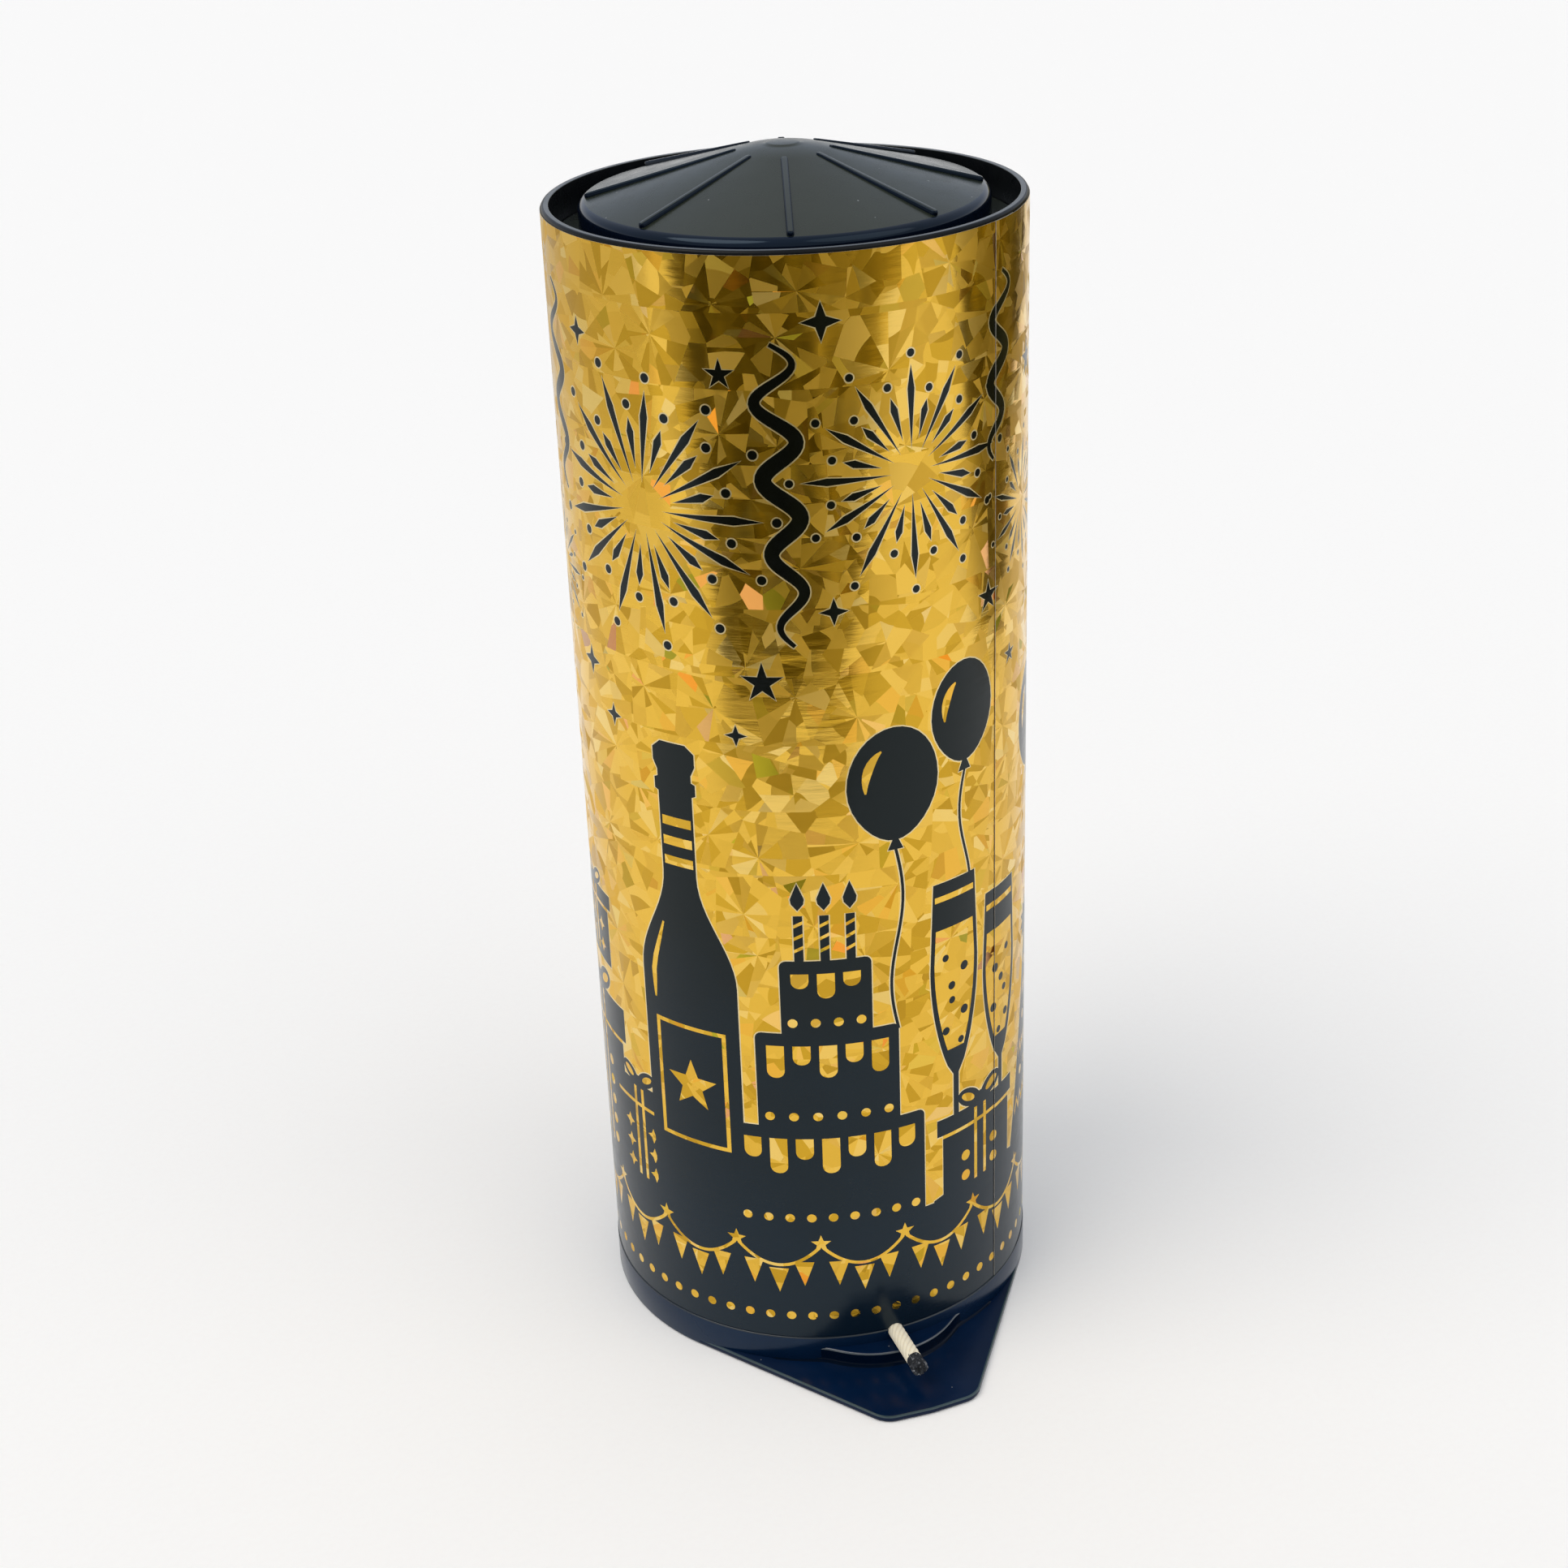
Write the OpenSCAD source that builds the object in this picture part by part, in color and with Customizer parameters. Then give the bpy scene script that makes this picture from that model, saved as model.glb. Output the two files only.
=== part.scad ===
// Table party popper: a foil-wrapped tube on a moulded base with a side fuse. A charge in the
// base drives a pusher up the tube, which throws out the filling and the ribbed lid.
// Millimetres. The tube's axis is Z, the table is Z = 0 and the fuse tray points to -Y.

/* [Tube] */
// Outside diameter of the bare tube
tube_od = 99.6; // [80:0.2:140]
// Thickness of the tube's wall
tube_wall = 1.6; // [1:0.1:3]
// Length of the tube, from its seat on the base to its rim
tube_length = 252; // [210:1:360]

/* [Label] */
// Thickness of the foil label
label_thickness = 0.2; // [0.1:0.05:0.4]
// Bare strip of tube above the label
label_top_gap = 0.8; // [0.4:0.1:5]
// Bare strip of tube below the label
label_bottom_gap = 0.2; // [0.1:0.1:5]

/* [Base] */
// Height of the base, from the table to the tube's seat
base_height = 8; // [7:0.5:14]
// How far the base's ring stands out past the label
base_proud = 0.2; // [0.1:0.1:2]
// Thickness of the base's floor and of the fuse tray
floor_thickness = 1.5; // [1:0.1:2.5]
// Height of the spigot that the tube is pushed over
spigot_height = 16; // [10:1:30]
// Thickness of the spigot's wall
spigot_wall = 2; // [1.2:0.1:4]
// Gap between the spigot and the tube's bore
spigot_gap = 0.1; // [0.05:0.05:0.4]
// Number of stiffening webs between the charge chamber and the spigot
web_count = 6; // [3:1:10]
// Thickness of a web
web_thickness = 1.4; // [1:0.1:2.5]
// Height of a web above the floor
web_height = 8; // [3:0.5:12]

/* [Fuse tray] */
// How far the tray reaches past the base's ring
tray_reach = 22; // [18:1:26]
// Angle of each straight side of the tray to its middle line
tray_half_angle = 35; // [30:1:38]
// Radius of the tray's two front corners
tray_corner_r = 6; // [2:0.5:9]
// Height of the fuse ledge above the tray
ledge_height = 3.7; // [2:0.1:4.5]
// How far the ledge bulges past the ring
ledge_reach = 5.4; // [3:0.2:9]
// Radius of the ledge's curved front
ledge_r = 23; // [15:1:35]

/* [Fuse] */
// Diameter of the fuse cord
fuse_d = 3.7; // [2:0.1:4.5]
// Length of fuse outside the base's ring, with its tip
fuse_free_length = 15; // [10:0.5:20]
// Length of the black ignition tip
fuse_tip_length = 4.5; // [2:0.5:7]
// How much wider the dipped tip is than the cord
fuse_tip_swell = 0.1; // [0:0.05:0.2]
// Gap between the fuse and the holes it runs through
fuse_gap = 0.1; // [0.05:0.05:0.3]
// Gap between the fuse and the ledge under it
fuse_lift = 0.15; // [0.15:0.05:0.5]
// Distance from the tube's axis to the fuse's inner end
fuse_inner_end = 6; // [3:0.5:8]

/* [Charge] */
// Inside diameter of the charge chamber
chamber_d = 26; // [22:1:34]
// Thickness of the chamber's wall
chamber_wall = 1.6; // [1:0.1:3]
// Height of the chamber's wall above the floor
chamber_height = 14; // [12:0.5:16]
// Thickness of the charge cup
cup_wall = 0.4; // [0.2:0.1:0.8]
// Gap between the cup and the chamber
cup_gap = 0.15; // [0.1:0.05:0.4]
// How far the cup's rim stays below the chamber's rim
cup_rim_drop = 0.6; // [0.3:0.1:2]
// Height of the propellant wad
propellant_height = 10; // [9:0.5:11]
// Thickness of the tissue that closes the chamber
seal_thickness = 0.3; // [0.1:0.1:1]

/* [Pusher] */
// Thickness of the card pusher
pusher_thickness = 3; // [2:0.5:6]
// Thickness of the felt wad on the pusher
felt_thickness = 4; // [2:0.5:8]
// Gap between the pusher and the tube's bore
pusher_gap = 0.25; // [0.15:0.05:0.6]

/* [Filling] */
// Gap between the filling and the tube's bore
filling_gap = 0.6; // [0.4:0.1:2]
// Height of the layer of loose confetti
confetti_height = 46; // [20:1:70]
// Height of one streamer roll, which is its paper's width
roll_height = 8; // [6:0.5:10]
// Number of layers of streamer rolls
roll_layers = 3; // [1:1:4]
// Gap between streamer rolls that lie side by side
roll_gap = 0.2; // [0.1:0.1:1]
// Diameter of the hole in a streamer roll
roll_bore_d = 9; // [5:0.5:14]
// Gap between pieces that stand side by side
upright_gap = 0.6; // [0.4:0.1:1]
// Thickness of the paper wound up in a rolled hat
hat_wall = 2.4; // [1.5:0.1:4]
// Width of the paper band round a rolled hat
band_width = 14; // [8:1:30]
// Thickness of that band
band_thickness = 0.4; // [0.2:0.1:0.8]
// Distance from a hat's top to the band's middle
band_below_top = 46; // [15:1:90]
// Outside diameter of a blower's mouthpiece
mouthpiece_d = 9; // [7:0.5:10]
// Bore of a blower's mouthpiece
mouthpiece_bore = 6.6; // [4:0.2:6.6]
// Length of a blower's mouthpiece
mouthpiece_length = 60; // [40:1:80]
// Width of a blower's rolled-up paper coil
coil_width = 11; // [8:0.5:14]
// Gap between the coil and the pieces that stand round it
coil_gap = 0.5; // [0.3:0.1:2]
// Thickness of the flat paper neck between coil and mouthpiece
neck_thickness = 1.4; // [1:0.1:2]
// Length of the neck that is pushed into the mouthpiece
neck_plug = 8; // [4:0.5:15]
// Gap between the neck's edges and the mouthpiece's bore
neck_gap = 0.1; // [0.05:0.05:0.3]

/* [Lid] */
// Gap between the lid's crown and the tube's bore
lid_gap = 5.9; // [4:0.1:10]
// How far the point of the lid's cone lies above its edge
lid_cone_rise = 11.5; // [6:0.5:20]
// Radius of the crown's rounded edge
lid_edge_r = 2; // [1.6:0.1:3]
// How far the centre of the rounded edge lies below the tube's rim
lid_edge_drop = 1.5; // [0.5:0.1:3]
// Thickness of the lid
lid_wall = 1.2; // [0.8:0.1:1.5]
// Depth of the lid's brim below the tube's rim
brim_depth = 6.8; // [5:0.1:10]
// Height of the skirt from its foot to the top of the brim
skirt_height = 10; // [7:0.5:16]
// Gap between the lid's skirt and the tube's bore
skirt_gap = 0.15; // [0.1:0.05:0.4]
// Number of ribs on the crown
rib_count = 8; // [4:1:16]
// Turn of the first rib from the fuse tray, towards +X
rib_turn = -17; // [-45:1:45]
// Width of a rib
rib_width = 1.5; // [1:0.1:3]
// Height of a rib above the cone
rib_height = 0.9; // [0.5:0.1:2]
// Distance from the axis to a rib's inner end
rib_inner_r = 9.5; // [6:0.5:16]
// Distance from a rib's outer end to the crown's edge
rib_edge_margin = 2.6; // [2:0.1:8]
// Diameter of the raised pad at the top of the lid
pad_d = 6.8; // [4:0.2:10]
// Height of that pad
pad_height = 0.3; // [0.1:0.1:0.8]
// Thickness of the card that closes the lid's underside
card_thickness = 1.5; // [1:0.1:3]
// Gap between that card and the skirt
card_gap = 0.1; // [0.05:0.05:0.3]

/* [Hidden] */
$fn = 96;
// Overlap of cutters past the faces that they cut
cut = 1;
// How far the tray's sides run inside the ring's circle, so that they cross it
tray_bite = 0.05;
// Steps in a rounded corner
arc_steps = 8;

// The tube, its bore and the outside of the label and the base
tube_r = tube_od / 2;
bore_r = tube_r - tube_wall;
label_r = tube_r + label_thickness;
ring_r = label_r + base_proud;
rim_z = base_height + tube_length;

// The spigot inside the tube
spigot_r = bore_r - spigot_gap;
spigot_inner_r = spigot_r - spigot_wall;
spigot_top = base_height + spigot_height;

// The fuse lies on the ledge and runs along -Y
ledge_top = floor_thickness + ledge_height;
fuse_r = fuse_d / 2;
fuse_z = ledge_top + fuse_lift + fuse_r;
fuse_hole_r = fuse_r + fuse_gap;
fuse_end = ring_r + fuse_free_length;
fuse_tip_start = fuse_end - fuse_tip_length;

// The charge chamber, its cup and the wad in it
chamber_r = chamber_d / 2;
chamber_outer_r = chamber_r + chamber_wall;
chamber_top = floor_thickness + chamber_height;
cup_r = chamber_r - cup_gap;
cup_inner_r = cup_r - cup_wall;
cup_floor = floor_thickness + cup_wall;
propellant_r = cup_inner_r - cup_gap;

// The pusher stands on the spigot, and the filling on the pusher
pusher_top = spigot_top + pusher_thickness;
felt_top = pusher_top + felt_thickness;
fill_r = bore_r - filling_gap;
confetti_top = felt_top + confetti_height;

// Three streamer rolls fill the bore side by side
roll_columns = 3;
roll_cell_r = fill_r / (1 + 2 / sqrt(3));
roll_r = roll_cell_r - roll_gap / 2;
roll_ring_r = fill_r - roll_cell_r;
rolls_top = confetti_top + roll_layers * roll_height;

// Seven upright pieces fill the bore, one in the middle and six round it
upright_cell_r = fill_r / 3;
upright_r = upright_cell_r - upright_gap / 2;
hat_r = upright_r - band_thickness;
hat_count = 4;
blower_count = 3;
upright_ring_r = 2 * upright_cell_r;

// A blower's coil fills its place, and its neck runs straight up from the mouthpiece into it
coil_r = sqrt(pow(upright_r - coil_gap, 2) - pow(coil_width / 2, 2));
mouthpiece_r = mouthpiece_d / 2;
mouthpiece_x = upright_r - mouthpiece_r;
mouthpiece_top = rolls_top + mouthpiece_length;
neck_width = 2 * sqrt(pow(mouthpiece_bore / 2 - neck_gap, 2) - pow(neck_thickness / 2, 2));
coil_z = mouthpiece_top + coil_r;

// The lid hangs in the tube's mouth and stands on the filling
crown_r = bore_r - lid_gap;
cone_angle = atan(lid_cone_rise / crown_r);
edge_z = rim_z - lid_edge_drop;
cone_edge_z = edge_z + lid_edge_r * (1 - sin(cone_angle)) / cos(cone_angle);
cone_point_z = cone_edge_z + lid_cone_rise;
brim_z = rim_z - brim_depth;
brim_r = bore_r - skirt_gap;
skirt_foot = brim_z - skirt_height;
card_r = brim_r - lid_wall - card_gap;
rib_outer_r = crown_r - rib_edge_margin;

// The rolled hats reach up to the lid
hat_length = skirt_foot - rolls_top;
band_z = hat_length - band_below_top;

// Heights of the cone's outer face at a radius, and its thickness measured upright
function cone_z(r) = cone_point_z - r * tan(cone_angle);
cone_wall_z = lid_wall / cos(cone_angle);

// Points along a circular arc
function arc(centre, r, from, to) =
    [for (i = [0:arc_steps])
        let (a = from + (to - from) * i / arc_steps)
        [centre[0] + r * cos(a), centre[1] + r * sin(a)]];

black_plastic = [0.05, 0.055, 0.065];
gold_foil = [0.85, 0.66, 0.24];
card_grey = [0.62, 0.58, 0.52];
party_colours = [[0.85, 0.12, 0.18], [0.98, 0.76, 0.1], [0.1, 0.45, 0.8], [0.15, 0.62, 0.3], [0.75, 0.2, 0.6]];
function party_colour(i) = party_colours[i % len(party_colours)];

// Ring round the tube's axis, from z0 up to z1
module ring(outer_r, inner_r, z0, z1) {
    rotate_extrude()
        translate([inner_r, z0])
            square([outer_r - inner_r, z1 - z0]);
}

// Disc on the tube's axis, from z0 up to z1
module disc(r, z0, z1) {
    translate([0, 0, z0])
        cylinder(r = r, h = z1 - z0);
}

// Round bar along -Y at the fuse's height, between two distances from the axis
module fuse_bar(r, near, far) {
    translate([0, -near, fuse_z])
        rotate([90, 0, 0])
            cylinder(r = r, h = far - near);
}

// Outline of the tray: two straight sides from the ring to a blunt front with round corners
module tray_outline() {
    side_r = ring_r - tray_bite;
    front_y = -(ring_r + tray_reach);
    corner_y = front_y + tray_corner_r;
    corner_x = (side_r - tray_corner_r + corner_y * sin(tray_half_angle)) / cos(tray_half_angle);
    side_x = side_r * cos(tray_half_angle);
    side_y = -side_r * sin(tray_half_angle);
    polygon(concat(
        [[0, 0], [-side_x, side_y]],
        arc([-corner_x, corner_y], tray_corner_r, 180 + tray_half_angle, 270),
        arc([corner_x, corner_y], tray_corner_r, 270, 360 - tray_half_angle),
        [[side_x, side_y]]
    ));
}

// Curved step in front of the ring that carries the fuse
module fuse_ledge() {
    wall_middle_r = (ring_r + spigot_inner_r) / 2;
    difference() {
        translate([0, -(ring_r + ledge_reach - ledge_r), 0])
            cylinder(r = ledge_r, h = ledge_top);
        translate([0, 0, -cut])
            cylinder(r = wall_middle_r, h = ledge_top + 2 * cut);
    }
}

// Upright webs on the floor, none of them in the fuse's way
module floor_webs() {
    web_near = chamber_r + chamber_wall / 2;
    web_far = spigot_inner_r + spigot_wall / 2;
    for (i = [0:web_count - 1])
        rotate([0, 0, -90 + (i + 0.5) * 360 / web_count])
            translate([web_near, -web_thickness / 2, floor_thickness / 2])
                cube([web_far - web_near, web_thickness, web_height + floor_thickness / 2]);
}

module base() {
    color(black_plastic)
        difference() {
            union() {
                disc(ring_r, 0, floor_thickness);
                linear_extrude(floor_thickness)
                    tray_outline();
                fuse_ledge();
                ring(ring_r, spigot_inner_r, 0, base_height);
                ring(spigot_r, spigot_inner_r, 0, spigot_top);
                ring(chamber_outer_r, chamber_r, 0, chamber_top);
                floor_webs();
            }
            fuse_bar(fuse_hole_r, chamber_r - cut, fuse_end);
        }
}

module tube() {
    color(black_plastic)
        difference() {
            ring(tube_r, bore_r, base_height, rim_z);
            fuse_bar(fuse_hole_r, spigot_inner_r, fuse_end);
        }
}

module label() {
    color(gold_foil)
        difference() {
            ring(label_r, tube_r, base_height + label_bottom_gap, rim_z - label_top_gap);
            fuse_bar(fuse_hole_r, spigot_inner_r, fuse_end);
        }
}

module charge_cup() {
    color([0.75, 0.75, 0.77])
        difference() {
            disc(cup_r, floor_thickness, chamber_top - cup_rim_drop);
            disc(cup_inner_r, cup_floor, chamber_top);
            fuse_bar(fuse_hole_r, fuse_inner_end, chamber_outer_r);
        }
}

module propellant_wad() {
    color([0.93, 0.91, 0.85])
        difference() {
            disc(propellant_r, cup_floor, cup_floor + propellant_height);
            fuse_bar(fuse_hole_r, fuse_inner_end - fuse_gap, chamber_outer_r);
        }
}

module chamber_seal() {
    color([0.9, 0.88, 0.82])
        disc(chamber_outer_r, chamber_top, chamber_top + seal_thickness);
}

module fuse_cord() {
    color([0.93, 0.89, 0.8])
        fuse_bar(fuse_r, fuse_inner_end, fuse_tip_start);
}

module fuse_tip() {
    color([0.1, 0.1, 0.11])
        fuse_bar(fuse_r + fuse_tip_swell, fuse_tip_start, fuse_end);
}

module pusher_card() {
    color(card_grey)
        disc(bore_r - pusher_gap, spigot_top, pusher_top);
}

module felt_wad() {
    color([0.5, 0.5, 0.48])
        disc(bore_r - pusher_gap, pusher_top, felt_top);
}

module confetti() {
    color(party_colour(1))
        disc(fill_r, felt_top, confetti_top);
}

// Rolls are counted round the bore, layer by layer
module streamer_roll(i) {
    column = (i - 1) % roll_columns;
    layer = floor((i - 1) / roll_columns);
    color(party_colour(i))
        rotate([0, 0, 90 + column * 360 / roll_columns])
            translate([roll_ring_r, 0, confetti_top + layer * roll_height])
                difference() {
                    cylinder(r = roll_r, h = roll_height);
                    translate([0, 0, -cut])
                        cylinder(d = roll_bore_d, h = roll_height + 2 * cut);
                }
}

// Hat 1 stands in the middle, and hats 2 to 4 stand in every other place round it
module hat_place(i) {
    ring_place = i == 1 ? 0 : upright_ring_r;
    rotate([0, 0, 90 + i * 360 / blower_count])
        translate([ring_place, 0, rolls_top])
            children();
}

module rolled_hat(i) {
    color(party_colour(i + 1))
        hat_place(i)
            difference() {
                cylinder(r = hat_r, h = hat_length);
                translate([0, 0, -cut])
                    cylinder(r = hat_r - hat_wall, h = hat_length + 2 * cut);
            }
}

module hat_band(i) {
    color(gold_foil)
        hat_place(i)
            translate([0, 0, band_z - band_width / 2])
                difference() {
                    cylinder(r = hat_r + band_thickness, h = band_width);
                    translate([0, 0, -cut])
                        cylinder(r = hat_r, h = band_width + 2 * cut);
                }
}

// Blowers stand between the outer hats
module blower_place(i) {
    rotate([0, 0, 90 + (i + 0.5) * 360 / blower_count])
        translate([upright_ring_r, 0, 0])
            children();
}

module blower_mouthpiece(i) {
    color([0.95, 0.95, 0.93])
        blower_place(i)
            translate([mouthpiece_x, 0, rolls_top])
                difference() {
                    cylinder(r = mouthpiece_r, h = mouthpiece_length);
                    translate([0, 0, -cut])
                        cylinder(d = mouthpiece_bore, h = mouthpiece_length + 2 * cut);
                }
}

module blower_coil(i) {
    color(party_colour(i + 2))
        blower_place(i) {
            translate([0, coil_width / 2, coil_z])
                rotate([90, 0, 0])
                    cylinder(r = coil_r, h = coil_width);
            translate([mouthpiece_x - neck_thickness / 2, -neck_width / 2, mouthpiece_top - neck_plug])
                cube([neck_thickness, neck_width, neck_plug + coil_r]);
        }
}

// Half section of the lid: pad, cone, rounded edge, crown wall, brim and skirt, then back inside
module lid_section() {
    pad_r = pad_d / 2;
    pad_z = cone_z(pad_r) + pad_height;
    inner_crown_r = crown_r - lid_wall;
    polygon(concat(
        [[0, pad_z], [pad_r, pad_z], [pad_r, cone_z(pad_r)]],
        arc([crown_r - lid_edge_r, edge_z], lid_edge_r, 90 - cone_angle, 0),
        [[crown_r, brim_z], [brim_r, brim_z], [brim_r, skirt_foot]],
        [[brim_r - lid_wall, skirt_foot], [brim_r - lid_wall, brim_z - lid_wall]],
        [[inner_crown_r, brim_z - lid_wall]],
        arc([crown_r - lid_edge_r, edge_z], lid_edge_r - lid_wall, 0, 90 - cone_angle),
        [[pad_r, cone_z(pad_r) - cone_wall_z], [0, cone_z(pad_r) - cone_wall_z]]
    ));
}

// One rib, a bar with round ends that lies on the cone
module lid_rib() {
    rib_length = (rib_outer_r - rib_inner_r - rib_width) / cos(cone_angle);
    rib_root = lid_wall / 2;
    translate([rib_inner_r + rib_width / 2, 0, cone_z(rib_inner_r + rib_width / 2)])
        rotate([0, cone_angle, 0])
            translate([0, 0, -rib_root]) {
                translate([0, -rib_width / 2, 0])
                    cube([rib_length, rib_width, rib_root + rib_height]);
                for (x = [0, rib_length])
                    translate([x, 0, 0])
                        cylinder(d = rib_width, h = rib_root + rib_height, $fn = 32);
            }
}

module lid() {
    color(black_plastic) {
        rotate_extrude()
            lid_section();
        for (i = [0:rib_count - 1])
            rotate([0, 0, -90 + rib_turn + i * 360 / rib_count])
                lid_rib();
    }
}

module lid_card() {
    color(card_grey)
        disc(card_r, skirt_foot, skirt_foot + card_thickness);
}

base();
tube();
label();
charge_cup();
propellant_wad();
chamber_seal();
fuse_cord();
fuse_tip();
pusher_card();
felt_wad();
confetti();
for (i = [1:roll_columns * roll_layers])
    streamer_roll(i);
for (i = [1:hat_count])
    rolled_hat(i);
for (i = [1:hat_count])
    hat_band(i);
for (i = [1:blower_count])
    blower_mouthpiece(i);
for (i = [1:blower_count])
    blower_coil(i);
lid();
lid_card();
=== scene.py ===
import random
from itertools import product
from math import atan, cos, degrees, hypot, pi, radians, sin, sqrt, tan

import bmesh
import bpy
from mathutils import Matrix, Vector, noise
from mathutils.geometry import delaunay_2d_cdt


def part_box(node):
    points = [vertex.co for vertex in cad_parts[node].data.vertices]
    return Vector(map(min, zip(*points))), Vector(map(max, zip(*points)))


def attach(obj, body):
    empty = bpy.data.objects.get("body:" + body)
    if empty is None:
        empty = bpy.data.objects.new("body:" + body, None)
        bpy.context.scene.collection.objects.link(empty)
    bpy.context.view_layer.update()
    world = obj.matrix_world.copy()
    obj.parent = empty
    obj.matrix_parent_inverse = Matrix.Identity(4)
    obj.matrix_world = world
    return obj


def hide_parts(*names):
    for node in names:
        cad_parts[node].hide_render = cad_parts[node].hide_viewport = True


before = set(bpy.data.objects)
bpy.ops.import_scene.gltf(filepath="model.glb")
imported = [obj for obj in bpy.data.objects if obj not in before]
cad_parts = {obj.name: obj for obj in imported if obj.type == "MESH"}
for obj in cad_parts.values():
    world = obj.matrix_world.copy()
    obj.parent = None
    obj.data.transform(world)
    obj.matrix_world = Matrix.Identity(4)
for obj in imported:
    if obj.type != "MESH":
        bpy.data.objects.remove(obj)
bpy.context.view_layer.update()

MM = 0.001
TURN = 2 * pi
EAST, NORTH, UP = Vector((1, 0, 0)), Vector((0, 1, 0)), Vector((0, 0, 1))


# Sizes read from the frame, in metres

def node_radii(node):
    """Least and greatest distance of a node's corners from the tube's axis."""
    reach = [hypot(v.co.x, v.co.y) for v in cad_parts[node].data.vertices]
    return min(reach), max(reach)


def heights(node):
    low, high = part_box(node)
    return low.z, high.z


def half_width(node):
    low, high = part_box(node)
    return (high.x - low.x) / 2


def middle_of(node):
    low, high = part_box(node)
    return (low + high) / 2


BORE_R, TUBE_R = node_radii("tube")
LABEL_R = node_radii("label")[1]
BRIM_R = node_radii("lid")[1]
SEAM_Z, RIM_Z = heights("tube")
LABEL_FOOT, LABEL_HEAD = heights("label")
RING_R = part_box("base")[1].y
TRAY_FRONT = -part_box("base")[0].y
SPIGOT_TOP = heights("base")[1]
LID_FOOT = heights("lid")[0]
CHAMBER_TOP = heights("chamber_seal")[0]
FUSE_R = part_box("fuse_cord")[1].x
FUSE_HOLE_R = FUSE_R + 0.1 * MM
FUSE_Z = sum(heights("fuse_cord")) / 2
FUSE_INNER = -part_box("fuse_cord")[1].y
FUSE_JOINT = -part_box("fuse_tip")[1].y
FUSE_END = -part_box("fuse_tip")[0].y
TIP_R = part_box("fuse_tip")[1].x


# Materials

# Noise lies mostly between these two values
NOISE_LOW, NOISE_HIGH = 0.3, 0.7
# Millimetres of the flat print in one unit of its map
PRINT_UNIT = 100.0


class Nodes:
    """A shader's nodes. An input is a number, a colour or another node's output. Sizes are in mm."""

    def __init__(self, tree):
        self.tree = tree

    def feed(self, socket, value):
        if isinstance(value, bpy.types.NodeSocket):
            self.tree.links.new(value, socket)
        else:
            socket.default_value = value

    def add(self, kind, inputs, output=0, **settings):
        made = self.tree.nodes.new("ShaderNode" + kind)
        for name, value in settings.items():
            setattr(made, name, value)
        for name, value in inputs.items():
            self.feed(made.inputs[name], value)
        return made.outputs[output]

    def place(self):
        """The point's place in the piece's own frame."""
        return self.scaled(self.add("TexCoord", {}, "Object"), 1 / MM)

    def on_print(self):
        """The point's place on the flat print."""
        return self.scaled(self.add("UVMap", {}, uv_map="print"), PRINT_UNIT)

    def vector(self, operation, a, b=(0, 0, 0), output=0):
        return self.add("VectorMath", {0: a, 1: b}, output, operation=operation)

    def scaled(self, vector, factor):
        return self.add("VectorMath", {0: vector, "Scale": factor}, operation="SCALE")

    def stretched(self, vector, factors):
        return self.vector("MULTIPLY", vector, factors)

    def split(self, vector):
        return self.add("SeparateXYZ", {0: vector}).node.outputs

    def joined(self, x, y, z=0.0):
        return self.add("CombineXYZ", {0: x, 1: y, 2: z})

    def math(self, operation, a, b=0.0):
        return self.add("Math", {0: a, 1: b}, operation=operation)

    def plus(self, a, b):
        return self.math("ADD", a, b)

    def minus(self, a, b):
        return self.math("SUBTRACT", a, b)

    def times(self, a, b):
        return self.math("MULTIPLY", a, b)

    def over(self, a, b):
        return self.math("DIVIDE", a, b)

    def above(self, a, b):
        return self.math("GREATER_THAN", a, b)

    def below(self, a, b):
        return self.math("LESS_THAN", a, b)

    def chance(self, x, y, z=0.0):
        """A random colour for each triple of numbers."""
        return self.add("TexWhiteNoise", {"Vector": self.joined(x, y, z)}, "Color")

    def noise(self, vector, size, detail=3.0, roughness=0.55):
        inputs = {"Vector": vector, "Scale": 1 / size, "Detail": detail, "Roughness": roughness}
        return self.add("TexNoise", inputs, "Fac")

    def cells(self, vector, size, randomness=1.0, dimensions="3D"):
        inputs = {"Vector": vector, "Scale": 1 / size, "Randomness": randomness}
        return self.add("TexVoronoi", inputs, voronoi_dimensions=dimensions).node.outputs

    def attribute(self, name):
        return self.add("Attribute", {}, "Fac", attribute_name=name)

    def spread(self, value, low, high, out_low, out_high):
        return self.add("MapRange", dict(enumerate((value, low, high, out_low, out_high))))

    def ranged(self, value, low, high):
        return self.spread(value, NOISE_LOW, NOISE_HIGH, low, high)

    def ramp(self, factor, *stops):
        made = self.add("ValToRGB", {"Fac": factor}, "Color")
        band = made.node.color_ramp.elements
        while len(band) < len(stops):
            band.new(0.5)
        for element, (at, colour) in zip(band, stops):
            element.position = at
            element.color = (*colour, 1.0)
        return made

    def tones(self, value, dark, light):
        return self.ramp(value, (NOISE_LOW, dark), (NOISE_HIGH, light))

    def palette(self, factor, colours):
        """One of a few plain colours, picked by a number from 0 to 1."""
        made = self.ramp(factor, *[(k / len(colours), colour) for k, colour in enumerate(colours)])
        made.node.color_ramp.interpolation = "CONSTANT"
        return made

    def mixed(self, factor, a, b):
        return self.add("Mix", {0: factor, 6: a, 7: b}, 2, data_type="RGBA")

    def bump(self, height, depth, normal=None):
        inputs = {"Height": height, "Strength": 1.0, "Distance": depth * MM}
        if normal is not None:
            inputs["Normal"] = normal
        return self.add("Bump", inputs)


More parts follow.
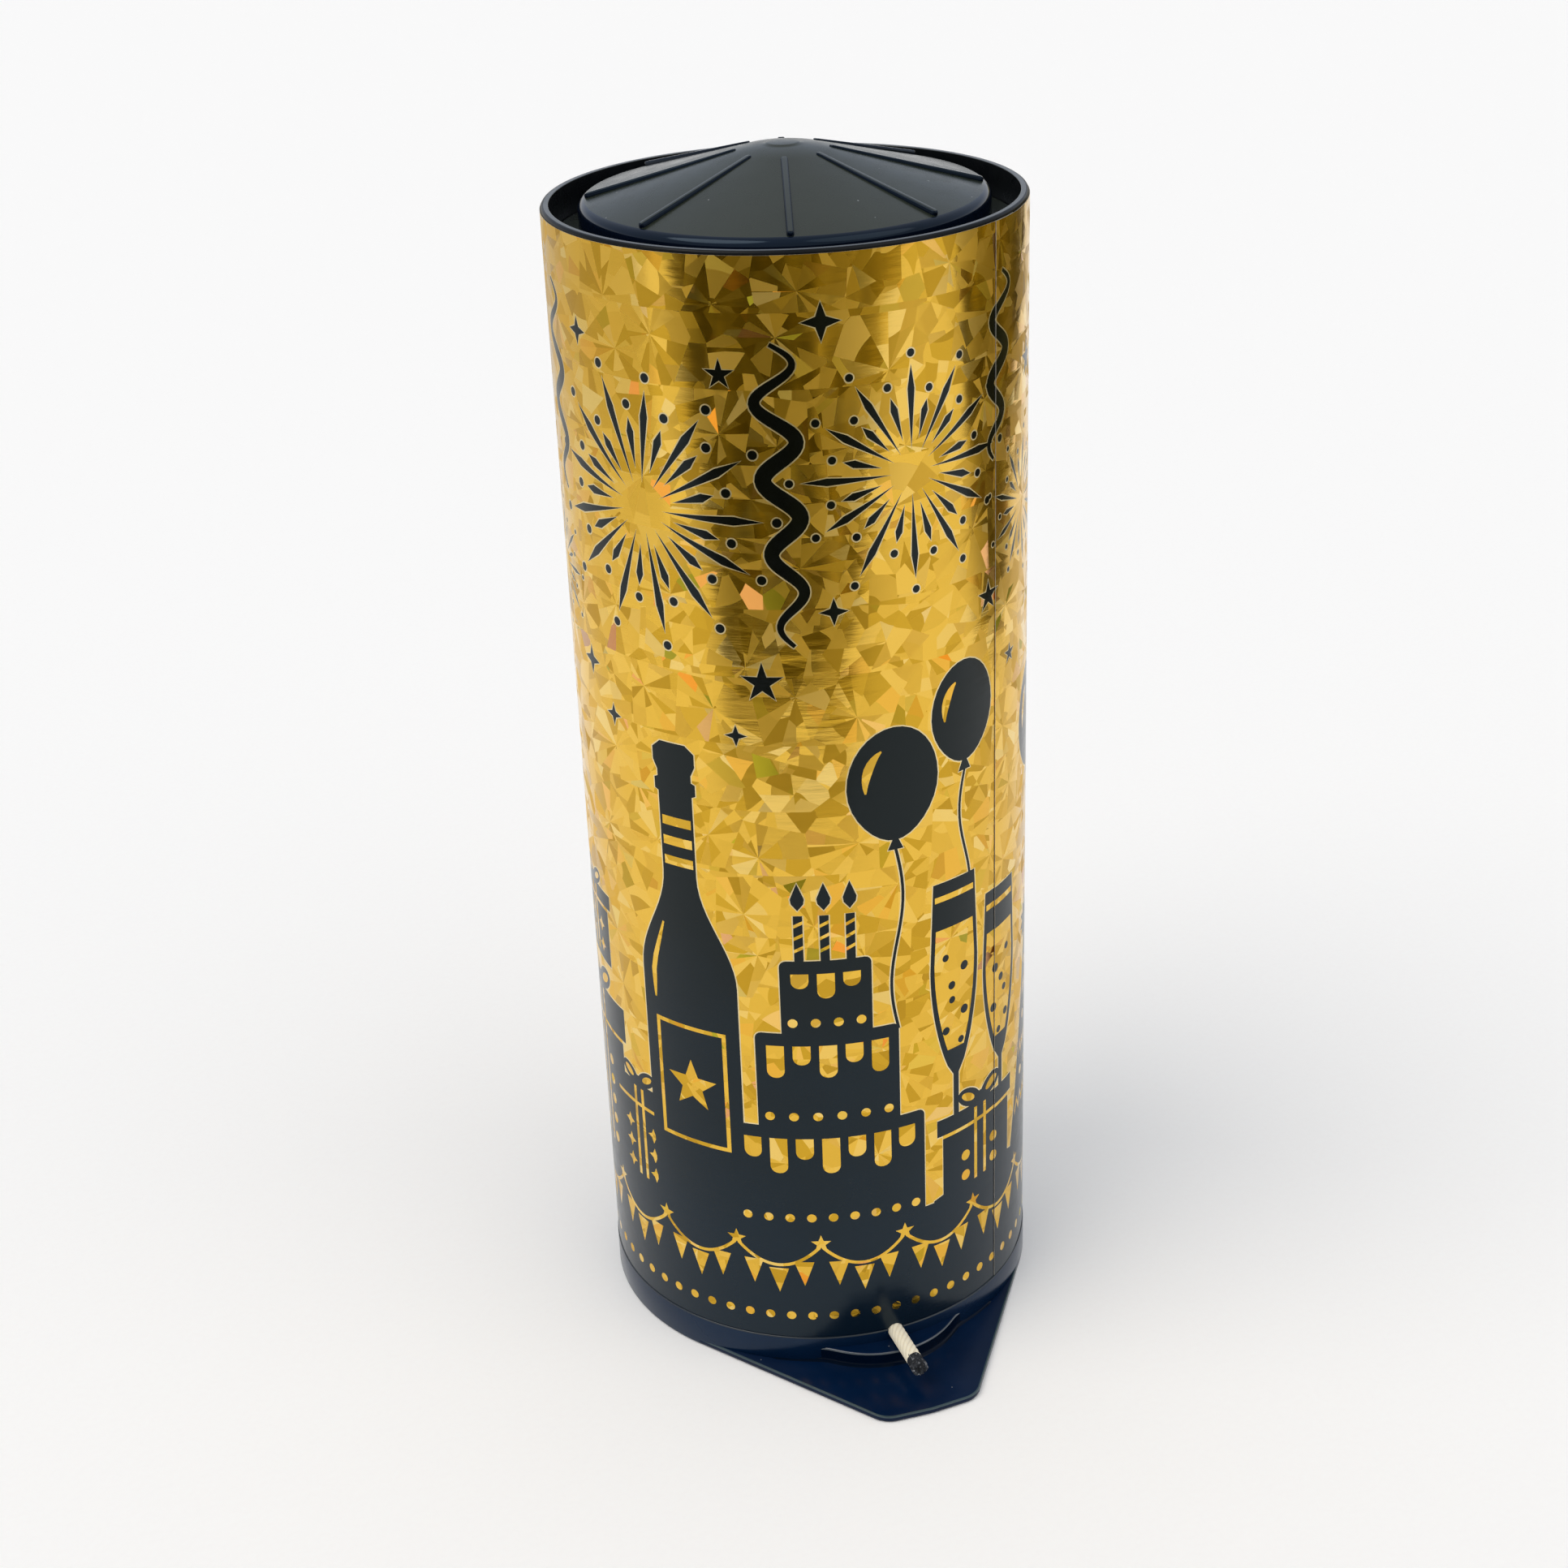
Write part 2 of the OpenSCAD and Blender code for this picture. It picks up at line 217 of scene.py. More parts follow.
class Surface(Nodes):
    """A material with one principled shader."""

    def __init__(self, name, **uniform):
        self.material = bpy.data.materials.new(name)
        self.material.use_nodes = True
        super().__init__(self.material.node_tree)
        self.shade(**uniform)

    def shade(self, **inputs):
        shader = self.tree.nodes["Principled BSDF"]
        for socket, value in inputs.items():
            self.feed(shader.inputs[socket.replace("_", " ")], value)
        return self.material


def rgb(red, green, blue):
    return (red, green, blue, 1.0)


GLINT_PATCH = (0.0, -125.0, 0.0)
GOLD_TONES = ((0.0, (0.58, 0.33, 0.025)), (0.20, (0.65, 0.378, 0.03)), (0.25, (0.77, 0.463, 0.055)),
              (0.74, (0.855, 0.522, 0.068)), (0.90, (0.885, 0.564, 0.10)), (1.0, (0.91, 0.645, 0.19)))
PRISM_TONES = ((0.0, (1.0, 0.30, 0.01)), (0.4, (0.95, 0.40, 0.05)), (0.55, (0.82, 0.38, 0.20)),
               (0.7, (0.66, 0.54, 0.03)), (1.0, (0.48, 0.45, 0.03)))
# The print's colour from its foot up: a painted blue reflection at the foot, fading to plain black.
INK_AND_PAINTED_REFLECTION = ((0.0, (0.003, 0.009, 0.019)), (0.6, (0.0018, 0.0028, 0.0040)), (1.0, (0.0013, 0.0014, 0.0014)))
DIP_TONES = ((0.42, (0.003, 0.005, 0.010)), (0.60, (0.022, 0.027, 0.036)), (0.78, (0.34, 0.35, 0.37)))


def film_ripple(s, at):
    """Slow waves and fine streaks in the wrapped film, longer along the tube's girth."""
    waves = s.noise(s.stretched(at, (0.35, 1.0, 1.0)), 9.0, 2.0)
    streaks = s.noise(s.stretched(at, (0.16, 1.0, 1.0)), 2.2, 3.0)
    return s.plus(s.times(waves, 0.7), s.times(streaks, 0.3))


def foil_shards(s, at, size, randomness, blades, cut):
    """Straight-edged blades that fan out from scattered points; each blade has its own random colour."""
    unevenness, widest_skew = 0.04, 1.7
    cell = s.cells(at, size, randomness, "2D")
    seed = s.split(cell["Color"])
    arm = s.vector("SUBTRACT", at, cell["Position"])
    parts = s.split(arm)
    turn = s.over(s.math("ARCTAN2", parts[1], parts[0]), TURN)
    wave = s.math("SINE", s.times(s.plus(s.times(turn, 2.0), seed[0]), TURN))
    uneven = s.plus(turn, s.times(wave, unevenness))
    count = s.times(s.plus(uneven, seed[0]), blades)
    blade = s.math("FLOOR", count)
    within = s.times(s.minus(s.minus(count, blade), 0.5), TURN / blades)
    draw = s.split(s.chance(blade, s.times(seed[1], 57.0)))
    skew = s.times(s.minus(draw[0], 0.5), widest_skew)
    along = s.times(s.vector("LENGTH", arm, output="Value"), s.math("COSINE", s.plus(within, skew)))
    step = s.math("FLOOR", s.plus(s.over(along, cut), draw[1]))
    return s.chance(blade, step, s.times(seed[1], 97.0)), seed[2]


def banded(s, at, tall, step):
    """The flat print cut into rows, each of which shows another part of a pattern."""
    parts = s.split(at)
    row = s.math("FLOOR", s.over(parts[1], tall))
    return s.joined(s.plus(parts[0], s.times(row, step)), s.plus(parts[1], s.times(row, 3 * tall)))


def foil_material():
    """Gold prismatic foil: fans of narrow blades among wider shards, each with its own tilt and tone."""
    tilt, glint_tilt = 0.055, 0.5
    fan_from, faint_from, glint_from, patch_from = 0.32, 0.90, 0.95, 0.54
    faint_strength, glint_strength = 0.22, 0.6
    s = Surface("gold_prismatic_foil", Metallic=1.0)
    at = s.on_print()
    rows = banded(s, at, tall=15.0, step=11.3)
    fan, chooser = foil_shards(s, rows, size=15.0, randomness=0.75, blades=15.0, cut=5.5)
    moved = s.vector("ADD", at, (7.0, 3.0, 0.0))
    wide, _ = foil_shards(s, moved, size=9.5, randomness=1.0, blades=6.0, cut=5.0)
    tone = s.mixed(s.above(chooser, fan_from), wide, fan)
    parts = s.split(tone)
    faint = s.times(s.above(parts[1], faint_from), faint_strength)
    patch = s.above(s.noise(s.vector("ADD", at, GLINT_PATCH), 55.0, 1.0), patch_from)
    glint = s.times(s.above(parts[1], glint_from), patch)
    rainbow_share = s.plus(faint, s.times(glint, glint_strength))
    colour = s.mixed(rainbow_share, s.ramp(parts[0], *GOLD_TONES), s.ramp(parts[2], *PRISM_TONES))
    lean = s.vector("SUBTRACT", tone, (0.5, 0.5, 0.5))
    lean = s.scaled(lean, s.plus(tilt, s.times(glint, glint_tilt - tilt)))
    upright = s.add("NewGeometry", {}, "Normal")
    tilted = s.vector("NORMALIZE", s.vector("ADD", upright, lean))
    normal = s.bump(film_ripple(s, at), 0.12, tilted)
    return s.shade(Base_Color=colour, Roughness=s.spread(parts[2], 0.4, 1.0, 0.15, 0.5), Normal=normal)


def bare_film_material():
    """The thin rim of bare, smooth film that shows round the black print."""
    s = Surface("bare_film", Metallic=1.0)
    cloud = s.noise(s.on_print(), 6.0)
    colour = s.tones(cloud, (0.80, 0.64, 0.34), (0.88, 0.75, 0.46))
    return s.shade(Base_Color=colour, Roughness=s.ranged(cloud, 0.35, 0.45))


def ink_material():
    """Gloss black print on the film, with the film's ripple and a painted blue reflection that grows towards
    its foot.
    """
    foot, head, waver = 25.0, 150.0, 15.0
    s = Surface("gloss_black_print", IOR=1.5, Specular_IOR_Level=0.30, Specular_Tint=rgb(0.78, 0.96, 1.0))
    at = s.on_print()
    height = s.plus(s.split(at)[1], s.ranged(s.noise(at, 30.0, 4.0), -waver, waver))
    colour = s.ramp(s.spread(height, foot, head, 0.0, 1.0), *INK_AND_PAINTED_REFLECTION)
    rough = s.ranged(s.noise(at, 3.0, 5.0), 0.16, 0.24)
    return s.shade(Base_Color=colour, Roughness=rough, Normal=s.bump(film_ripple(s, at), 0.06))


def label_edge_material():
    """Pale cut edge and back of the label."""
    s = Surface("label_cut_edge", Roughness=0.6)
    return s.shade(Base_Color=s.tones(s.noise(s.place(), 0.6), (0.62, 0.58, 0.48), (0.78, 0.74, 0.64)))


PLAIN, BLUE_SHEEN = (1.0, 1.0, 1.0), (0.55, 0.78, 1.0)
# Dark and light tone, least and greatest roughness, grain's size and depth, dust, gloss, tint of the gloss
PLASTICS = {
    "tube_black": ((0.003, 0.004, 0.005), (0.005, 0.006, 0.007), 0.24, 0.34, 0.5, 0.01, 0.0, 0.15, PLAIN),
    # The lip is painted paler than the wall, as a highlight on its flat top.
    "tube_lip_painted_highlight": ((0.034, 0.039, 0.038), (0.047, 0.053, 0.051), 0.18, 0.26, 0.5, 0.006, 0.0, 0.5, PLAIN),
    "base_black": ((0.0005, 0.0078, 0.030), (0.0011, 0.0108, 0.040), 0.16, 0.24, 0.5, 0.008, 0.042, 0.14,
                   PLAIN),
    # Paler tone on the tray's top bevel: a painted highlight where the edge catches light.
    "base_edge_painted_highlight": ((0.016, 0.040, 0.050), (0.030, 0.060, 0.072), 0.14, 0.22, 0.5, 0.008, 0.0, 0.6, PLAIN),
    # A painted highlight along the ledge's rounded top edge.
    "base_ledge_painted_highlight": ((0.050, 0.064, 0.080), (0.095, 0.112, 0.135), 0.10, 0.15, 0.5, 0.004, 0.0, 0.8,
                         PLAIN),
    # A thin paler line where the label meets the ring: a painted highlight on the ring's top edge.
    "base_seam_painted_highlight": ((0.010, 0.017, 0.026), (0.018, 0.028, 0.040), 0.14, 0.22, 0.5, 0.008, 0.0, 0.5, PLAIN),
    "base_ring": ((0.0012, 0.009, 0.030), (0.002, 0.012, 0.038), 0.16, 0.24, 0.5, 0.008, 0.03, 0.38,
                  (0.55, 0.75, 1.0)),
    # Darker tone for the ledge's foot and front side: painted shade.
    "base_ledge_painted_shade": ((0.0003, 0.0036, 0.012), (0.0006, 0.0050, 0.017), 0.12, 0.18, 0.5, 0.004, 0.0, 0.12,
                        PLAIN),
    "lid_black": ((0.011, 0.0145, 0.007), (0.016, 0.0205, 0.012), 0.20, 0.30, 0.35, 0.004, 0.055, 0.5,
                  (0.97, 1.0, 0.92)),
    # Glossier than the lid, and painted darker and bluer: painted shade on the crown's rounded edge.
    "lid_polished_painted_shade": ((0.002, 0.005, 0.013), (0.004, 0.008, 0.020), 0.08, 0.12, 0.35, 0.002, 0.0, 0.30,
                     BLUE_SHEEN),
    # Near-black rib sides: painted shade, so that the ribs show dark outlines.
    "lid_rib_painted_shade": ((0.0012, 0.0030, 0.0080), (0.0020, 0.0050, 0.0140), 0.12, 0.18, 0.35, 0.002, 0.0, 0.20,
                   BLUE_SHEEN),
    "lid_rib_top": ((0.010, 0.0135, 0.010), (0.015, 0.0195, 0.016), 0.12, 0.18, 0.35, 0.002, 0.0, 0.65,
                    (0.92, 1.0, 0.95)),
    "mouthpiece_white": ((0.62, 0.62, 0.60), (0.74, 0.74, 0.72), 0.3, 0.42, 0.6, 0.01, 0.0, 0.5, PLAIN),
}


def moulded_plastic(name):
    """Moulded plastic with a fine skin, faint flow marks and specks of dust."""
    dark, light, rough_low, rough_high, grain, grain_depth, dust, gloss, tint = PLASTICS[name]
    s = Surface(name, IOR=1.5, Specular_IOR_Level=gloss, Specular_Tint=rgb(*tint))
    at = s.place()
    body = s.tones(s.noise(s.stretched(at, (1.0, 1.0, 0.5)), 18.0, 4.0), dark, light)
    on_speck = s.below(s.cells(at, 3.5)["Distance"], dust)
    colour = s.mixed(s.times(on_speck, 0.6), body, rgb(0.35, 0.36, 0.37))
    rough = s.ranged(s.noise(at, 4.0, 6.0), rough_low, rough_high)
    return s.shade(Base_Color=colour, Roughness=rough, Normal=s.bump(s.noise(at, grain), grain_depth))


def plastics(*names):
    return [moulded_plastic(name) for name in names]


def fuse_material():
    """Cream cotton cord, painted darker along the grooves between its strands as shade."""
    s = Surface("fuse_cotton", Roughness=0.85, Sheen_Weight=0.3)
    at = s.place()
    fibre = s.noise(s.stretched(at, (1.0, 0.35, 1.0)), 0.35, 4.0)
    thread = s.ramp(fibre, (0.25, (0.99, 0.88, 0.63)), (0.75, (1.0, 0.95, 0.78)))
    soil = s.spread(s.noise(at, 3.0), 0.55, 0.8, 0.0, 0.12)
    stained = s.mixed(soil, thread, rgb(0.58, 0.49, 0.35))
    # The darker brown in the grooves is painted shade.
    colour = s.mixed(s.times(s.attribute("groove"), 0.30), stained, rgb(0.40, 0.28, 0.14))
    return s.shade(Base_Color=colour, Normal=s.bump(fibre, 0.08))


def dip_material():
    """Dry black ignition dip, crumbly with grey flecks, with painted grey highlights on its strands' ridges
    and broken rim.
    """
    s = Surface("fuse_dip", Roughness=0.7)
    crumb = s.noise(s.place(), 0.6, 5.0)
    # Painted highlight: paler where the mesh marks the ridges and the crater's broken rim.
    crumb_and_highlight = s.plus(crumb, s.times(s.attribute("dip_highlight"), 0.20))
    return s.shade(Base_Color=s.ramp(crumb_and_highlight, *DIP_TONES), Normal=s.bump(crumb, 0.3))


def fibre_material(name, dark, light, fibre_size, depth, sheen=0.0):
    """Felt, board, tissue or wool: a tangle of fine fibres over a soft mottle."""
    s = Surface(name, Roughness=0.9, Sheen_Weight=sheen)
    at = s.place()
    tangle = s.noise(at, fibre_size, 6.0, 0.7)
    mottle = s.spread(s.noise(at, fibre_size * 14), 0.35, 0.75, 0.0, 0.3)
    colour = s.mixed(mottle, s.tones(tangle, dark, light), rgb(*dark))
    return s.shade(Base_Color=colour, Normal=s.bump(tangle, depth))


def metal_material(name, dark, light, rough_low, rough_high, dent):
    """Thin rolled metal or foil with drawing lines and small dents."""
    s = Surface(name, Metallic=1.0)
    at = s.place()
    lines = s.noise(s.stretched(at, (0.07, 0.07, 1.0)), 0.8, 4.0)
    normal = s.bump(s.noise(at, 4.0, 2.0), dent)
    rough = s.ranged(lines, rough_low, rough_high)
    return s.shade(Base_Color=s.tones(lines, dark, light), Roughness=rough, Normal=normal)


# Mesh helpers

def polar(radius, bearing, z=0.0):
    a = radians(bearing)
    return Vector((radius * cos(a), radius * sin(a), z))


def from_camera(radius, bearing, z=0.0):
    """A point whose bearing is counted from the camera's side, to the right."""
    return polar(radius, CAMERA_TURN - 90 + bearing, z)


def angles(steps):
    return [TURN * k / steps for k in range(steps)]


def between(first, last, steps):
    return [first + (last - first) * k / steps for k in range(steps + 1)]


def clamped(value):
    return min(max(value, 0.0), 1.0)


def eased(t):
    return t * t * (3 - 2 * t)


def reach_and_height(face):
    middle = face.calc_center_median()
    return hypot(middle.x, middle.y), middle.z


def round_corners(points, radii, steps=5, closed=True):
    """The outline with each corner that has a radius replaced by an arc."""
    out = []
    count = len(points)
    for i, (point, radius) in enumerate(zip(points, radii)):
        at_end = not closed and i in (0, count - 1)
        if radius <= 0 or at_end:
            out.append(tuple(point))
            continue
        here = Vector(point)
        back = (Vector(points[i - 1]) - here).normalized()
        ahead = (Vector(points[(i + 1) % count]) - here).normalized()
        half = back.angle(ahead) / 2
        centre = here + (back + ahead).normalized() * (radius / sin(half))
        first = here + back * (radius / tan(half)) - centre
        last = here + ahead * (radius / tan(half)) - centre
        sweep = first.angle_signed(last)
        for k in range(steps + 1):
            turned = first.copy()
            turned.rotate(Matrix.Rotation(-sweep * k / steps, 2))
            out.append(tuple(centre + turned))
    return out


def link_object(name, data):
    made = bpy.data.objects.new(name, data)
    bpy.context.scene.collection.objects.link(made)
    return made


def make_object(name, bm, materials, smooth_angle=35.0):
    mesh = bpy.data.meshes.new(name)
    bmesh.ops.recalc_face_normals(bm, faces=bm.faces)
    bm.to_mesh(mesh)
    bm.free()
    for material in materials:
        mesh.materials.append(material)
    mesh.polygons.foreach_set("use_smooth", [True] * len(mesh.polygons))
    mesh.set_sharp_from_angle(angle=radians(smooth_angle))
    return link_object(name, mesh)


def place_piece(piece, body, slot, *nodes):
    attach(piece, body)
    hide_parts(*nodes)


def make_piece(name, bm, materials, body, slot, node, smooth_angle=35.0):
    place_piece(make_object(name, bm, materials, smooth_angle), body, slot, node)


def hide_from(piece, *rays):
    for ray in rays:
        setattr(piece, "visible_" + ray, False)


def add_lathe(bm, profile, steps=192, closed=True, centre=Vector((0, 0, 0))):
    """Turns a profile of (radius, height) round an upright axis. An open one starts and ends on the axis."""
    rings = []
    for radius, height in profile:
        if radius < 1e-7:
            rings.append([bm.verts.new(centre + Vector((0, 0, height)))])
        else:
            ring = [centre + polar(radius, 360 * k / steps, height) for k in range(steps)]
            rings.append([bm.verts.new(p) for p in ring])
    pairs = list(zip(rings, rings[1:]))
    if closed:
        pairs.append((rings[-1], rings[0]))
    for low, high in pairs:
        for k in range(steps):
            n = (k + 1) % steps
            corners = [low[k % len(low)], low[n % len(low)], high[n % len(high)], high[k % len(high)]]
            bm.faces.new(list(dict.fromkeys(corners)))
    return [vert for ring in rings for vert in ring]


def add_loft(bm, rings, caps=True):
    """Skins a row of rings of points that all have the same count."""
    made = [[bm.verts.new(p) for p in ring] for ring in rings]
    count = len(made[0])
    for low, high in zip(made, made[1:]):
        for k in range(count):
            n = (k + 1) % count
            bm.faces.new((low[k], low[n], high[n], high[k]))
    if caps:
        for ring in (made[0], made[-1]):
            bmesh.ops.triangulate(bm, faces=[bm.faces.new(ring)])
    return made


def marked_loft(mark, rings, values):
    """A new mesh of lofted rings with a number for every point, kept under a name for the material."""
    bm = bmesh.new()
    layer = bm.verts.layers.float.new(mark)
    made = add_loft(bm, rings)
    for vert, value in zip((v for ring in made for v in ring), values):
        vert[layer] = value
    return bm


def inset_outline(outline, amount):
    """The closed outline moved inwards by amount, for outlines that run anticlockwise."""
    moved = []
    count = len(outline)
    for i, point in enumerate(outline):
        along = Vector(outline[(i + 1) % count]) - Vector(outline[i - 1])
        inward = Vector((-along.y, along.x)).normalized()
        moved.append(Vector(point) + inward * amount)
    return moved


def add_slab(bm, outline, levels, paints):
    """A flat piece with a shaped edge: levels are pairs of (inset of the outline, height).

    paints gives steps between levels the number of another material.
    """
    rings = add_loft(bm, [[(p.x, p.y, z) for p in inset_outline(outline, inset)] for inset, z in levels])
    for step, paint in paints.items():
        ends = set(rings[step] + rings[step + 1])
        for face in {f for vert in rings[step] for f in vert.link_faces}:
            if ends.issuperset(face.verts):
                face.material_index = paint


def fuse_point(radius, a, y):
    """A point round the fuse's axis, y ahead of the tube's axis."""
    return (radius * cos(a), -y, FUSE_Z + radius * sin(a))


def add_drilled(bm, profile, hole_from, hole_to, closed=True):
    """Adds a turned piece with the fuse's hole cut through it."""
    turned_bm, drill_bm = bmesh.new(), bmesh.new()
    add_lathe(turned_bm, profile, closed=closed)
    add_loft(drill_bm, [[fuse_point(FUSE_HOLE_R, a, y) for a in angles(48)] for y in (hole_from, hole_to)])
    turned = make_object("turned", turned_bm, [])
    drill = make_object("drill", drill_bm, [])
    cut = turned.modifiers.new("fuse_hole", "BOOLEAN")
    cut.object = drill
    cut.solver = "EXACT"
    evaluated = turned.evaluated_get(bpy.context.evaluated_depsgraph_get())
    bm.from_mesh(bpy.data.meshes.new_from_object(evaluated))
    bpy.data.objects.remove(turned)
    bpy.data.objects.remove(drill)


# Camera, floor and light

CAMERA_TURN = -19.29
CAMERA_DISTANCE = 509.35 * MM
CAMERA_HEIGHT = 363.75 * MM
CAMERA_PITCH = 25.785
CAMERA_YAW = -0.538
CAMERA_ROLL = -2.249
CAMERA_LENS = 56.992
LAMP_TINT = (1.0, 0.95, 0.885)


def make_camera():
    """A camera that looks down at the popper, turned from the fuse tray's middle line."""
    turn = Matrix.Rotation(radians(CAMERA_TURN), 3, "Z")
    pitch, yaw, roll = (radians(a) for a in (CAMERA_PITCH, CAMERA_YAW, CAMERA_ROLL))
    ahead = Vector((sin(yaw) * cos(pitch), cos(yaw) * cos(pitch), -sin(pitch)))
    level_right = ahead.cross(UP).normalized()
    level_up = level_right.cross(ahead)
    right = cos(roll) * level_right + sin(roll) * level_up
    up = cos(roll) * level_up - sin(roll) * level_right
    axes = turn @ Matrix((right, up, -ahead)).transposed()
    data = bpy.data.cameras.new("camera")
    data.lens = CAMERA_LENS
    data.sensor_width = 36.0
    data.clip_start = 0.01
    camera = link_object("camera", data)
    place = turn @ Vector((0, -CAMERA_DISTANCE, SEAM_Z + CAMERA_HEIGHT))
    camera.matrix_world = Matrix.Translation(place) @ axes.to_4x4()
    bpy.context.scene.camera = camera


def floor_material():
    """Near-white paper; what the camera and reflections see of it is lifted a little towards white."""
    lift = 0.08
    s = Surface("pale_floor", Roughness=1.0, Specular_IOR_Level=0.0, Emission_Color=rgb(1, 1, 1))
    ray = s.add("LightPath", {}).node.outputs
    seen = s.math("MAXIMUM", ray["Is Camera Ray"], ray["Is Glossy Ray"])
    seen = s.math("MAXIMUM", seen, ray["Is Transmission Ray"])
    colour = s.tones(s.noise(s.place(), 1.5, 4.0), (0.911, 0.9025, 0.886), (0.926, 0.9175, 0.900))
    return s.shade(Base_Color=colour, Emission_Strength=s.times(seen, lift))


def make_floor():
    half, drop = 9.5, 0.2 * MM
    bm = bmesh.new()
    corners = ((-1, -1), (1, -1), (1, 1), (-1, 1))
    bm.faces.new([bm.verts.new((x * half, y * half, -drop)) for x, y in corners])
    floor = make_object("floor", bm, [floor_material()])


def glow_surface(name, **uniform):
    return Surface(name, Base_Color=rgb(0, 0, 0), Roughness=1.0, Emission_Strength=1.0, **uniform)


def make_backdrop():
    """A far pale wall that only the camera sees, so that the floor has no edge."""
    distance, foot, head, steps = 9.0, -1.0, 5.0, 96
    bm = bmesh.new()
    rings = [[polar(distance, 360 * k / steps, z) for k in range(steps)] for z in (foot, head)]
    add_loft(bm, rings, caps=False)
    s = glow_surface("pale_wall", Specular_IOR_Level=0.0)
    plaster = s.noise(s.place(), 900.0)
    s.shade(Emission_Color=s.tones(plaster, (0.947, 0.947, 0.947), (0.952, 0.952, 0.952)))
    wall = make_object("backdrop", bm, [s.material])
    hide_from(wall, "diffuse", "glossy", "transmission", "shadow")


def add_sun(name, bearing, height, softness, strength):
    """A wide, soft, even lamp. Its bearing is counted from the camera, to the right."""
    data = bpy.data.lights.new(name, "SUN")
    data.angle = radians(softness)
    data.energy = strength
    data.color = LAMP_TINT
    towards = from_camera(cos(radians(height)), bearing, sin(radians(height)))
    lamp = link_object(name, data)
    lamp.rotation_mode = "QUATERNION"
    lamp.rotation_quaternion = (-towards).to_track_quat("-Z", "Y")


def folded(tone):
    """The colour of a dark cloth with folds."""
    folds = [(at, tuple(c * part for c in tone)) for at, part in ((0.40, 0.35), (0.56, 1.0), (0.70, 3.0))]
    return lambda s: s.ramp(s.noise(s.place(), 50.0), *folds)


def fading(foot_tone, head_tone, foot, head):
    """A colour that changes evenly with height, given in millimetres."""
    stops = ((0.0, foot_tone), (1.0, head_tone))
    return lambda s: s.ramp(s.spread(s.split(s.place())[2], foot, head, 0.0, 1.0), *stops)


def add_card(name, foot_bearings, head_bearings, foot, colour):
    """An upright card that shows only in reflections. Bearings are counted from the camera."""
    distance, head = 350 * MM, 280 * MM
    across, up = 24, 12
    bm = bmesh.new()
    rows = []
    for j, z in enumerate(between(foot, head, up)):
        first, last = (a + (b - a) * j / up for a, b in zip(foot_bearings, head_bearings))
        rows.append([bm.verts.new(from_camera(distance, b, z)) for b in between(first, last, across)])
    for low, high in zip(rows, rows[1:]):
        for k in range(across):
            bm.faces.new((low[k], low[k + 1], high[k + 1], high[k]))
    s = glow_surface(name)
    s.shade(Emission_Color=colour(s))
    card = make_object(name, bm, [s.material])
    hide_from(card, "camera", "diffuse", "transmission", "shadow")


def make_world():
    """A pale room, dimmer overhead and bluer behind the object."""
    world = bpy.data.worlds.new("studio")
    bpy.context.scene.world = world
    world.use_nodes = True
    n = Nodes(world.node_tree)
    towards = n.add("TexCoord", {}, "Generated")
    height = n.split(towards)["Z"]
    foot, head = (0.0, (0.90, 0.90, 0.90)), (1.0, (0.59, 0.61, 0.64))
    front = n.ramp(height, foot, (0.3, (0.52, 0.53, 0.55)), head)
    back = n.ramp(height, foot, (0.3, (0.46, 0.53, 0.66)), head)
    away = n.vector("DOT_PRODUCT", towards, from_camera(1, 180), "Value")
    colour = n.mixed(n.spread(away, -0.2, 0.5, 0.0, 1.0), front, back)
    n.feed(world.node_tree.nodes["Background"].inputs["Color"], colour)


def make_light():
    make_world()
    add_sun("key_lamp", bearing=-60, height=58, softness=40, strength=1.05)
    add_sun("fill_lamp", bearing=55, height=48, softness=50, strength=0.45)
    add_card("front_card", (-32, 10), (-67, 11), 22 * MM, folded((0.11, 0.096, 0.018)))
    add_card("front_card_right", (10, 20), (11, 65), 22 * MM, folded((0.28, 0.25, 0.10)))
    add_card("side_card", (92, 112), (70, 164), 40 * MM, folded((0.14, 0.115, 0.015)))
    pale = fading((0.92, 0.92, 0.91), (0.62, 0.61, 0.58), 45, 170)
    add_card("left_card", (-165, -60), (-165, -67), 45 * MM, pale)
    bpy.context.scene.view_settings.view_transform = "Standard"


# Printed label. The print is laid out flat in millimetres: x runs round the tube to the right, from the
# middle of the camera's side, and y runs up from the label's foot. The design repeats twice round the tube.

# Numbers of the label's materials, and one for no label at all
FOIL, INK, BACK, RIM, HOLE = 0, 1, 2, 3, -1
GIRTH = TURN * LABEL_R / MM
REPEAT = GIRTH / 2
PRINT_HEIGHT = (LABEL_HEAD - LABEL_FOOT) / MM
OVERLAP = 8.0
SHEET_START = 47.6
SHEET_END = SHEET_START + GIRTH + OVERLAP
SHEET_COLUMNS = 184
FILM = 0.18
PRINT_RIM = 0.28
GROUND = 31.0
SPARKLES = ((-8, 164, 4.6), (7, 179, 3.0), (45, 174, 3.6), (-54, 160, 3.4), (-14, 228, 3.2), (6, 238, 4.0),
            (66, 219, 4.2), (-50, 232, 3.0), (74, 166, 2.8), (-14, 152, 2.4), (54, 158, 2.4), (-46, 150, 2.6))


def ink(*outlines):
    return [(INK, outline) for outline in outlines]


def bare(*outlines):
    return [(FOIL, outline) for outline in outlines]


def box_shape(left, foot, right, head):
    return [(left, foot), (right, foot), (right, head), (left, head)]


def oval(x, y, across, up, steps, lean=0.0):
    c, s = cos(radians(lean)), sin(radians(lean))
    ring = [(across * cos(a), up * sin(a)) for a in angles(steps)]
    return [(x + c * a - s * b, y + s * a + c * b) for a, b in ring]


def dot(x, y, radius, steps=14):
    return oval(x, y, radius, radius, steps)


